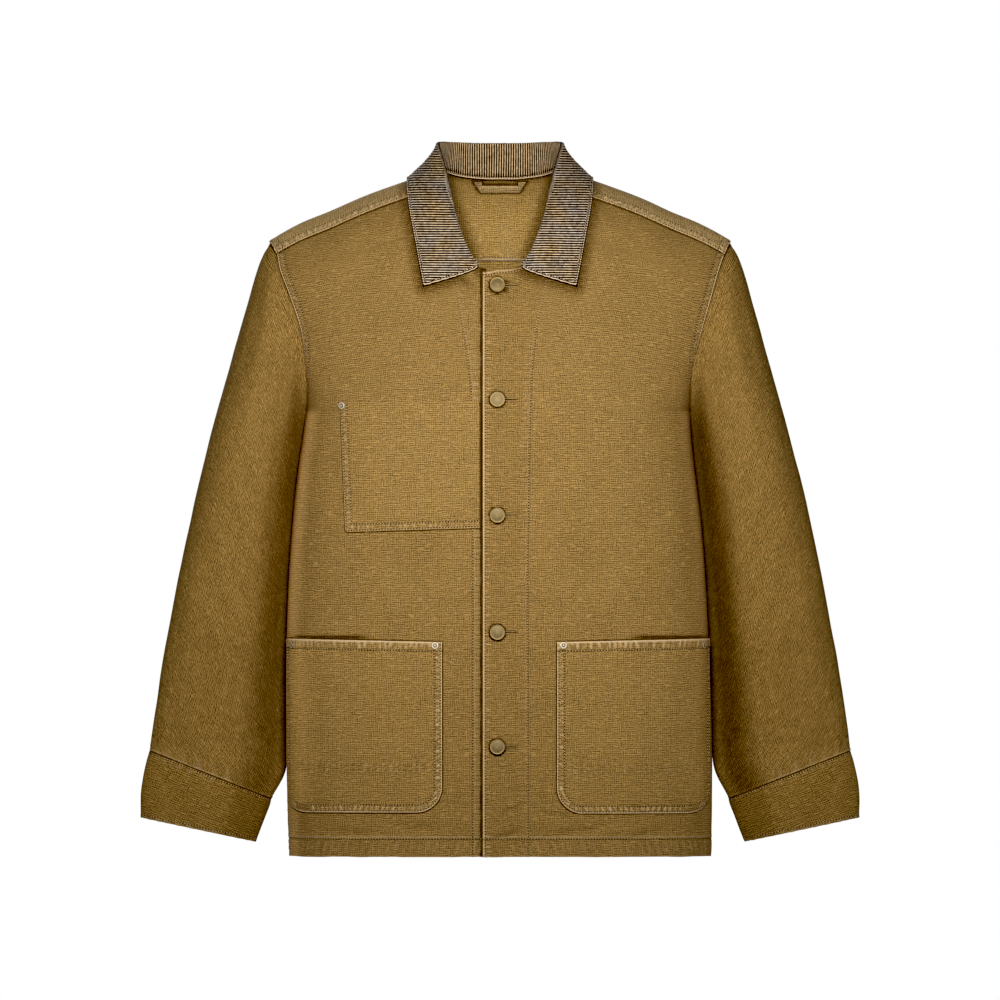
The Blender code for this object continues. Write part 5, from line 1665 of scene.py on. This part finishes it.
def cord_shades():
    """Shader group of the corduroy: cords pale from rubbing and painted highlight over
    valleys dark with painted shade.  Cord is in metres across the cords.  The plain
    input is 1 where the cloth is turned or bound, raised too where light is painted
    on the stand, and -1 where shade is painted under its rim."""
    group, given, leave = shader_group(
        "cords",
        [("Place", VECTOR), ("Cord", VALUE), ("PlainAndPaintedLight", VALUE)],
        [("Colour", COLOUR), ("Height", VALUE)],
    )

    def calc(operation, *values):
        return maths(group, operation, *values)

    place = given["Place"]
    drift = noise(group, place, Scale=48, Detail=3)
    nap = noise(group, place, Scale=900, Detail=2)
    rubbed = noise(group, place, Scale=260, Detail=2)
    # behind the neck the drift goes to the warm tone, partly as painted light on the stand
    behind = calc("MAXIMUM", add(group, "ShaderNodeSeparateXYZ", {0: place}).outputs["Y"], 0.0)
    drift = calc("MULTIPLY_ADD", behind, -7.0, drift)
    tones = [ramp(group, drift, (0.3, near), (0.7, far)) for near, far in (VALLEY_PAINTED_SHADE_TONES, CREST_WEAR_AND_HIGHLIGHT_TONES)]
    wave = calc("COSINE", calc("MULTIPLY", given["Cord"], 2 * math.pi / (CORD_PITCH * MM)))
    rib = calc("MULTIPLY_ADD", rubbed, 0.56, calc("MULTIPLY_ADD", wave, 0.5, 0.5 - 0.28))
    crest = calc("MULTIPLY_ADD", rib, 1 / CREST_SOFT, -CREST_START / CREST_SOFT)
    crest = calc("SMOOTH_MIN", crest, 1.0, 0.1)
    crest = calc("MULTIPLY", crest, calc("SUBTRACT", 1.0, calc("ABSOLUTE", given["PlainAndPaintedLight"])))
    crest = calc("MULTIPLY_ADD", calc("MAXIMUM", given["PlainAndPaintedLight"], 0.0), PLAIN_SHADE, crest)
    feed(group, leave, {"Colour": mix(group, crest, *tones), "Height": nap})
    return group


CORDUROY, tree, shader = new_look(
    "corduroy_brown",
    {"Roughness": 0.92, "Specular IOR Level": 0.05, "Sheen Weight": 0.06, "Sheen Roughness": 0.45},
)
cord_at = add(tree, "ShaderNodeSeparateXYZ", {0: cut_place(tree)}).outputs["X"]
values = {"Place": own_place(tree), "Cord": cord_at, "PlainAndPaintedLight": marked(tree, "wear_and_painted_light")}
cords = add(tree, "ShaderNodeGroup", values, node_tree=cord_shades()).outputs
feed(tree, shader, {"Base Color": cords["Colour"], "Normal": bumps(tree, cords["Height"], 0.6, 0.0002)})
inner_rows = np.round(np.linspace(0, len(rows) - 1, len(rows) // 2)).astype(int)
inner_columns = np.round(np.linspace(0, CORD_COLUMNS, CORD_COLUMNS // 12 + 1)).astype(int)
lining = (grid - normals * COLLAR_WALL)[inner_rows][:, inner_columns]
# painted shade at the very rim, under the binding and beside the leaf's stitching
plain_with_painted_light = plain - 2 * smooth((0.45 - from_rim) / 0.45) - 1.6 * groove(from_seam, BINDING + 0.1, 0.5)
plain_with_painted_light -= 1.4 * groove(from_rim, COLLAR_STITCH - 0.7, 0.5) * smooth(leaf_share * 8)
# painted light on the stand
plain_with_painted_light += 0.4 * smooth(3.2 - rows[:, None]) * smooth(from_seam - BINDING - 1)
# painted shade along the tops of the fold
plain_with_painted_light = np.clip(plain_with_painted_light - 1.2 * between(rows[:, None], 2.2, 3.8) * smooth((share[None] - 0.3) / 0.08), -1, 1)
leaf_lining = rows[inner_rows] > LEAF_ROW + 0.5
# the leaf's lining rim stands out and shows as a line of painted shadow round the leaf
lining[-1] += RIM * unit(lining[-1] - lining[-2])
for end, near in ((0, 1), (-1, -2)):
    lining[leaf_lining, end] += RIM * unit(lining[leaf_lining, end] - lining[leaf_lining, near])
shade = np.full(lining.shape[:2], -1.0)
shade[~leaf_lining] = 0.0
laid = np.stack([cord_run, from_seam], -1)
piece = cloth("collar_corduroy", skin, lining, CORDUROY, laid, plain_with_painted_light, inside_wear_and_painted_light=shade)
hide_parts("collar")


def paint_shade_beside(piece, line, reach, amount):
    """Paints shade on a panel close beside what lies over it."""
    mesh = piece.data
    spots = np.empty(3 * len(mesh.vertices))
    mesh.vertices.foreach_get("co", spots)
    spots = spots.reshape(-1, 3) / MM
    wear_and_painted_light = np.empty(len(spots))
    mesh.attributes["wear_and_painted_light"].data.foreach_get("value", wear_and_painted_light)
    facing = np.array([v.vector[:] for v in mesh.vertex_normals])
    near = np.flatnonzero(np.all((spots > line.min(0) - reach) & (spots < line.max(0) + reach), axis=1))
    away = np.array([np.linalg.norm(spots[near] - point, axis=1) for point in line])
    toward = line[away.argmin(axis=0)] - spots[near]
    outside = np.einsum("ij,ij->i", toward, facing[near]) > -0.6
    wear_and_painted_light[near] = np.maximum(-1, wear_and_painted_light[near] - amount * outside * smooth(1 - away.min(axis=0) / reach))
    mesh.attributes["wear_and_painted_light"].data.foreach_set("value", wear_and_painted_light)


# painted shadow of the collar's leaves on the fronts and yoke
leaf_edge = np.concatenate([skin[leaf_share[:, 0] > 0, 0], skin[-1, ::8], skin[leaf_share[:, 0] > 0, -1]])
for name in ("front_left_canvas", "front_right_canvas", "yoke_canvas"):
    paint_shade_beside(bpy.data.objects[name], leaf_edge, LEAF_SHADE, 0.75)
# the second tone is painted shade at the stitch ends
CORD_THREAD = thread_look("thread_brown", (0.95, 0.75, 0.50), (0.012, 0.008, 0.004))
leaf = rows >= LEAF_ROW + 0.4
sewn = [
    sewn_down(skin, normals, from_seam, from_seam[-1] - COLLAR_STITCH, slice(9, -9)),
    sewn_down(skin, normals, from_seam, BINDING * 0.5),
]
end_run = run_lengths(grid)
for at in (COLLAR_STITCH, end_run[:, -1] - COLLAR_STITCH):
    line, facing_out = sewn_across(skin, normals, end_run, at, leaf)
    sewn.append((line[:-6], facing_out[:-6]))
sew("collar_stitches", sewn, CORD_THREAD, seed=300)

# The hanger loop, a folded strip of canvas with turned corners, caught at both ends
# in the neck seam inside the yoke.
LOOP_TOP = 27.6
LOOP_BOTTOM = 20.8
LOOP_INNER = 19.8
LOOP_LEVELS = (0.5, -3.2, -10.2)
LOOP_CLEAR = 1.3
LOOP_SHADE = 5.0
top_level, inner_level, low_level = LOOP_LEVELS
LOOP_BAND = 7.4


def loop_line(top_x, low_x, low_z):
    """Down one leg of the loop, along its foot and up the other leg."""
    leg = np.linspace(0, 1, 9)[:-1]
    leg_x, leg_z = -top_x + (top_x - low_x) * leg, top_level + (low_z - top_level) * leg
    x = np.concatenate([leg_x, np.linspace(-low_x, low_x, 41), -leg_x[::-1]])
    return x, np.concatenate([leg_z, np.full(41, low_z), leg_z[::-1]])


outer_x, outer_z = loop_line(LOOP_TOP, LOOP_BOTTOM, low_level)
inner_x, inner_z = loop_line(LOOP_INNER, LOOP_INNER, inner_level)
part = np.array([0, 0.05, 0.12, 0.2, 0.32, 0.5, 0.68, 0.8, 0.88, 0.95, 1.0])[:, None]
x, z = outer_x + (inner_x - outer_x) * part, outer_z + (inner_z - outer_z) * part
grid = np.stack([x, depth(x, z, 1), z], -1)
facing = grid_normals(grid)
facing *= -np.sign(facing[..., 1].mean())
band = np.minimum(part, 1 - part) * LOOP_BAND
lift = 0.75 * smooth(band / 1.3) - 0.28 * groove(band, 1.6, 0.5) + 0.12 * crumple(x, z, 5, 321)
skin = grid + facing * (CANVAS + LOOP_CLEAR + lift)[..., None]
lining = (grid + facing * (CANVAS + LOOP_CLEAR - 0.8))[::5]
# pale along the edges, with painted shade right at the rim
wear_and_painted_light = groove(band, 0.8, 0.6) - smooth((0.25 - band) / 0.25) + 0 * x
# painted light: a much lighter tone than the body's canvas
LOOP_CANVAS_PAINTED_LIGHTER = canvas_look("canvas_loop", tone=(0.54, 0.37, 0.16))
piece = cloth("hanger_loop_canvas", skin, lining, LOOP_CANVAS_PAINTED_LIGHTER, np.stack([x, z], -1), wear_and_painted_light)
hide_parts("hanger_loop")
# painted shadow of the loop on the yoke's inside
paint_shade_beside(bpy.data.objects["yoke_canvas"], np.concatenate([skin[0], skin[-1]]), LOOP_SHADE, 1.8)
rows_sewn = [(skin[3], facing[3]), (skin[-4], facing[-4])]
sew("hanger_loop_stitches", rows_sewn, BODY_THREAD, half=1.1, thick=0.28, pitch=2.3, seed=320)

# Five worked buttonholes in the left front, thread laid across both lips, and the
# bar tacks that hold the pocket mouths and the facing.
BUTTON_X = -2.8
BUTTON_Z = (-112.5, -234.2, -357.4, -482.5, -604.5)
HOLE_LENGTH = (-9.0, 15.8)
LIP = 1.15
TACKS = (
    (32.6, -448.0, 60.0, -448.0, 1),
    (28.9, -449.2, 34.0, -449.2, 1),
    (-28.5, -377.5, -28.5, -384.0, -1),
)


def thread_on_front(x0, z0, x1, z1, side, lift):
    """A straight row of thread laid on a front, and the way the front faces under it."""
    xs, zs = np.linspace(x0, x1, 12), np.linspace(z0, z1, 12)
    facing = front_facing(xs, zs, side)
    return front_at(xs, zs, side) + facing * lift, facing


sewn = []
for z in BUTTON_Z:
    for lip in (z - LIP, z + LIP):
        sewn.append(thread_on_front(HOLE_LENGTH[0], lip, HOLE_LENGTH[1], lip, 1, 0.65))
    # painted shade of the slit between the lips
    slit = np.linspace(6.0, HOLE_LENGTH[1] + 1.5, 12)
    paint_shade_beside(bpy.data.objects["front_left_canvas"], front_at(slit, z + 0 * slit, 1), 2.4, 0.7)
sew("buttonhole_stitches", sewn, BODY_THREAD, half=0.8, thick=0.34, pitch=0.9, seed=330, slant=math.pi / 2)
sewn = [thread_on_front(*tack, 0.12) for tack in TACKS]
sew("tack_stitches", sewn, BODY_THREAD, half=1.0, thick=0.3, pitch=2.4, seed=340)

# Five shank buttons of antique brass: a pressed cap with a rolled rim and a slightly
# domed, brushed middle, on a short round shank.
BUTTON_CAP = (
    (3.4, 0.0),
    (3.4, 2.5),
    (7.3, 2.75),
    (8.15, 3.05),
    (8.5, 3.6),
    (8.42, 4.15),
    (8.05, 4.5),
    (7.7, 4.55),
    (7.4, 4.4),
    (7.1, 4.2),
    (6.6, 4.2),
    (5.4, 4.42),
    (3.8, 4.6),
    (1.9, 4.7),
    (0.35, 4.72),
)
RIVET_CAP = (
    (4.0, 0.0),
    (4.05, 0.35),
    (3.8, 0.7),
    (3.3, 0.95),
    (2.7, 1.02),
    (2.05, 0.92),
    (1.75, 0.85),
    (1.55, 1.05),
    (1.35, 1.45),
    (0.95, 1.62),
    (0.3, 1.66),
)


def turned_cap(name, profile, sides):
    """A round pressed cap, raised step by step from a disc."""
    radius, start = profile[0]
    bpy.ops.object.select_all(action="DESELECT")
    spot = (0, 0, start * MM)
    bpy.ops.mesh.primitive_circle_add(vertices=sides, radius=radius * MM, fill_type="NGON", location=spot)
    made = bpy.context.object
    made.name = name
    bpy.ops.object.mode_set(mode="EDIT")
    bpy.ops.mesh.select_all(action="SELECT")
    for (r0, z0), (r1, z1) in zip(profile, profile[1:]):
        bpy.ops.mesh.extrude_region_move(TRANSFORM_OT_translate={"value": (0, 0, (z1 - z0) * MM)})
        bpy.ops.transform.resize(value=(r1 / r0, r1 / r0, 1))
    bpy.ops.mesh.select_all(action="SELECT")
    bpy.ops.mesh.normals_make_consistent(inside=False)
    bpy.ops.object.mode_set(mode="OBJECT")
    bpy.ops.object.transform_apply(location=True, rotation=True, scale=True)
    bpy.ops.object.shade_smooth_by_angle(angle=math.radians(50))
    return made


def metal_look(name, bright, dark, rough, ring_scale, metal):
    """Worn metal: brushed, dark where polish doesn't reach and bright where it does, by each point's values,
    which also hold painted highlights and painted shade.
    """
    made, tree, shader = new_look(name, {"Metallic": metal})
    scale = (ring_scale, ring_scale, ring_scale * 5)
    stretch = add(tree, "ShaderNodeMapping", {"Vector": own_place(tree), "Scale": scale})
    grain = noise(tree, stretch.outputs["Vector"], Scale=1.0, Detail=3)
    polish = maths(tree, "SUBTRACT", marked(tree, "wear_and_painted_light"), 0.45)
    polish = maths(tree, "MULTIPLY_ADD", grain, 0.9, polish, clamp=True)
    tone = mix(tree, polish, (*dark, 1), (*bright, 1))
    rough = maths(tree, "MULTIPLY_ADD", grain, 0.25, rough)
    feed(tree, shader, {"Base Color": tone, "Roughness": rough, "Normal": bumps(tree, grain, 0.35, 0.0001)})
    return made


def rim_polish_and_painted_light(made, bright_from, bright_to):
    """How polished each point is, by its distance from the axis: the bright rim is partly a painted highlight
    and the dark outer edge is painted shade.
    """
    spots = np.array([v.co[:] for v in made.data.vertices]) / MM
    radius = np.hypot(spots[:, 0], spots[:, 1])
    polish = np.interp(radius, bright_from, bright_to)
    low = 2.0 if spots[:, 2].max() > 3 else 0.3
    mark_points(made.data, "wear_and_painted_light", np.where(spots[:, 2] < low, 0.0, polish))


def seat(made, x, z, lift, side):
    """Stands a cap on the cloth, its axis along the way the cloth faces."""
    xs, zs = np.array([x]), np.array([z])
    facing = front_facing(xs, zs, side)[0]
    spot = front_at(xs, zs, side)[0] + facing * lift
    made.location = Vector(spot) * MM
    made.rotation_euler = Vector(facing).to_track_quat("Z", "Y").to_euler()
    bpy.ops.object.select_all(action="DESELECT")
    made.select_set(True)
    bpy.context.view_layer.objects.active = made
    bpy.ops.object.transform_apply(location=True, rotation=True, scale=True)


def another(first, name):
    made = first.copy()
    made.data = first.data.copy()
    made.name = name
    bpy.context.scene.collection.objects.link(made)
    return made


# radius of the ring of painted shadow round each button
UNDER_BUTTON = 7.9
BRASS = metal_look("antique_brass_worn_painted_highlights", (0.68, 0.48, 0.19), (0.012, 0.007, 0.003), 0.4, 900, 0.5)
button = turned_cap("button_cap", BUTTON_CAP, 64)
# a dull centre, a bright rim that is partly a painted highlight and a dark outer ring of painted shade
rim_polish_and_painted_light(button, (0, 3.8, 6.6, 7.1, 7.4, 7.7, 8.05, 8.5), (0.3, 0.24, 0.3, 0.42, 0.75, 0.6, 0.0, 0.0))
button.data.materials.append(BRASS)
for number, z in enumerate(BUTTON_Z, 1):
    piece = another(button, f"button_{number}_brass")
    seat(piece, BUTTON_X, z, SEAM + 0.6, 1)
    # a ring of painted shadow on the front round each button
    turns = np.linspace(0, 2 * math.pi, 25)
    under = front_at(BUTTON_X + UNDER_BUTTON * np.cos(turns), z + UNDER_BUTTON * np.sin(turns), 1)
    paint_shade_beside(bpy.data.objects["front_left_canvas"], under, 2.7, 3.0)
    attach(piece, "root")
    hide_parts(f"button_{number}")
bpy.data.objects.remove(button)

# Five pressed rivets at the pocket mouths' corners, a pale dull cap with a raised
# burr in the middle, set through pocket and front.
RIVET_METAL = metal_look("dull_brass_worn", (0.95, 0.80, 0.58), (0.03, 0.02, 0.01), 0.5, 1100, 0.7)
RIVET_OUTER_SHARE = 0.968
RIVETS = (
    ("rivet_chest", -168.0, -240.5, -1),
    ("rivet_right_inner", -69.2, -496.6, -1),
    ("rivet_left_inner", 67.6, -496.4, 1),
    ("rivet_right_outer", -RIVET_OUTER_SHARE * float(half_width(-496.5, -1)), -496.5, -1),
    ("rivet_left_outer", RIVET_OUTER_SHARE * float(half_width(-496.5, 1)), -496.5, 1),
)
rivet = turned_cap("rivet_cap", RIVET_CAP, 40)
# bright on the burr and the rim, darker in the ring round the burr and at the outer edge
rim_polish_and_painted_light(rivet, (0, 0.9, 1.4, 1.8, 2.2, 3.2, 3.7, 4.05), (1.0, 0.8, 0.1, 0.0, 0.6, 1.0, 0.7, 0.0))
rivet.data.materials.append(RIVET_METAL)
for name, x, z, side in RIVETS:
    piece = another(rivet, f"{name}_cap")
    seat(piece, x, z, POCKET_CLEAR + CANVAS + SEAM, side)
    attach(piece, "root")
    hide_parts(name)
bpy.data.objects.remove(rivet)

# The studio: a long lens straight in front at half the jacket's height, a broad lamp
# before the chest, one at each side for the sleeves, one behind, a white surround and
# a round pale floor where the wearer's feet would be.
LENS_AWAY = 30.0
SEEN_WIDTH = 1.07
LENS_Z = -0.34133
FLOOR_Z = -1.46
BLACK_LEVEL = 0.018
LAMPS = (
    ("lamp_front", (0.0, -1.75, 0.03), (0.0, 0.0, -0.27), 0.5, 0.4, 3.82, 64),
    ("lamp_right", (-1.7, -0.9, -0.1), (-0.25, 0.0, -0.3), 0.9, 1.0, 1.25, 110),
    ("lamp_left", (1.7, -0.9, -0.1), (0.25, 0.0, -0.3), 0.9, 1.0, 1.1, 110),
    ("lamp_back", (-0.3, 2.1, 0.7), (0.0, 0.0, -0.3), 1.6, 1.0, 16.0, 120),
)
LAMP_TINT = (1.0, 0.985, 0.955)

bpy.ops.object.camera_add(location=(0, -LENS_AWAY, LENS_Z), rotation=(math.pi / 2, 0, 0))
camera = bpy.context.object
camera.data.sensor_width = 36
camera.data.lens = 36 * LENS_AWAY / SEEN_WIDTH
camera.data.clip_end = 100
bpy.context.scene.camera = camera
view = bpy.context.scene.view_settings
view.view_transform = "Standard"
view.use_curve_mapping = True
view.curve_mapping.black_level = (BLACK_LEVEL, BLACK_LEVEL, BLACK_LEVEL)
view.curve_mapping.update()

for name, place, aim, width, height, power, spread in LAMPS:
    turn = (Vector(aim) - Vector(place)).to_track_quat("-Z", "Y").to_euler()
    bpy.ops.object.light_add(type="AREA", location=place, rotation=turn)
    lamp = bpy.context.object
    lamp.name = name
    lamp.data.shape = "RECTANGLE"
    lamp.data.size = width
    lamp.data.size_y = height
    lamp.data.energy = power
    lamp.data.spread = math.radians(spread)
    lamp.data.color = LAMP_TINT

surround = bpy.data.worlds.new("surround")
bpy.context.scene.world = surround
surround.use_nodes = True
sky = surround.node_tree
fill = sky.nodes["Background"]
feed(sky, fill, {"Color": (1.0, 0.985, 0.96, 1), "Strength": 0.1})
seen = add(sky, "ShaderNodeBackground", {"Color": (1, 1, 1, 1), "Strength": 1.0})
seen_straight = add(sky, "ShaderNodeLightPath").outputs["Is Camera Ray"]
both = {"Fac": seen_straight, 1: fill.outputs["Background"], 2: seen.outputs["Background"]}
either = add(sky, "ShaderNodeMixShader", both)
feed(sky, sky.nodes["World Output"], {"Surface": either.outputs["Shader"]})

bpy.ops.object.select_all(action="DESELECT")
bpy.ops.mesh.primitive_circle_add(vertices=96, radius=2.6, fill_type="NGON", location=(0, 0, FLOOR_Z))
floor = bpy.context.object
floor.name = "floor"
bpy.ops.object.mode_set(mode="EDIT")
bpy.ops.mesh.select_all(action="SELECT")
bpy.ops.mesh.extrude_region_move(TRANSFORM_OT_translate={"value": (0, 0, -0.03)})
bpy.ops.mesh.select_all(action="SELECT")
bpy.ops.mesh.normals_make_consistent(inside=False)
bpy.ops.object.mode_set(mode="OBJECT")
bpy.ops.object.transform_apply(location=True)
paper, tree, shader = new_look("floor_paper", {"Base Color": (0.86, 0.86, 0.85, 1), "Roughness": 0.8})
feed(tree, shader, {"Emission Color": (0.9, 0.9, 0.89, 1), "Emission Strength": 0.55})
floor.visible_diffuse = False
floor.visible_glossy = False
floor.data.materials.append(paper)
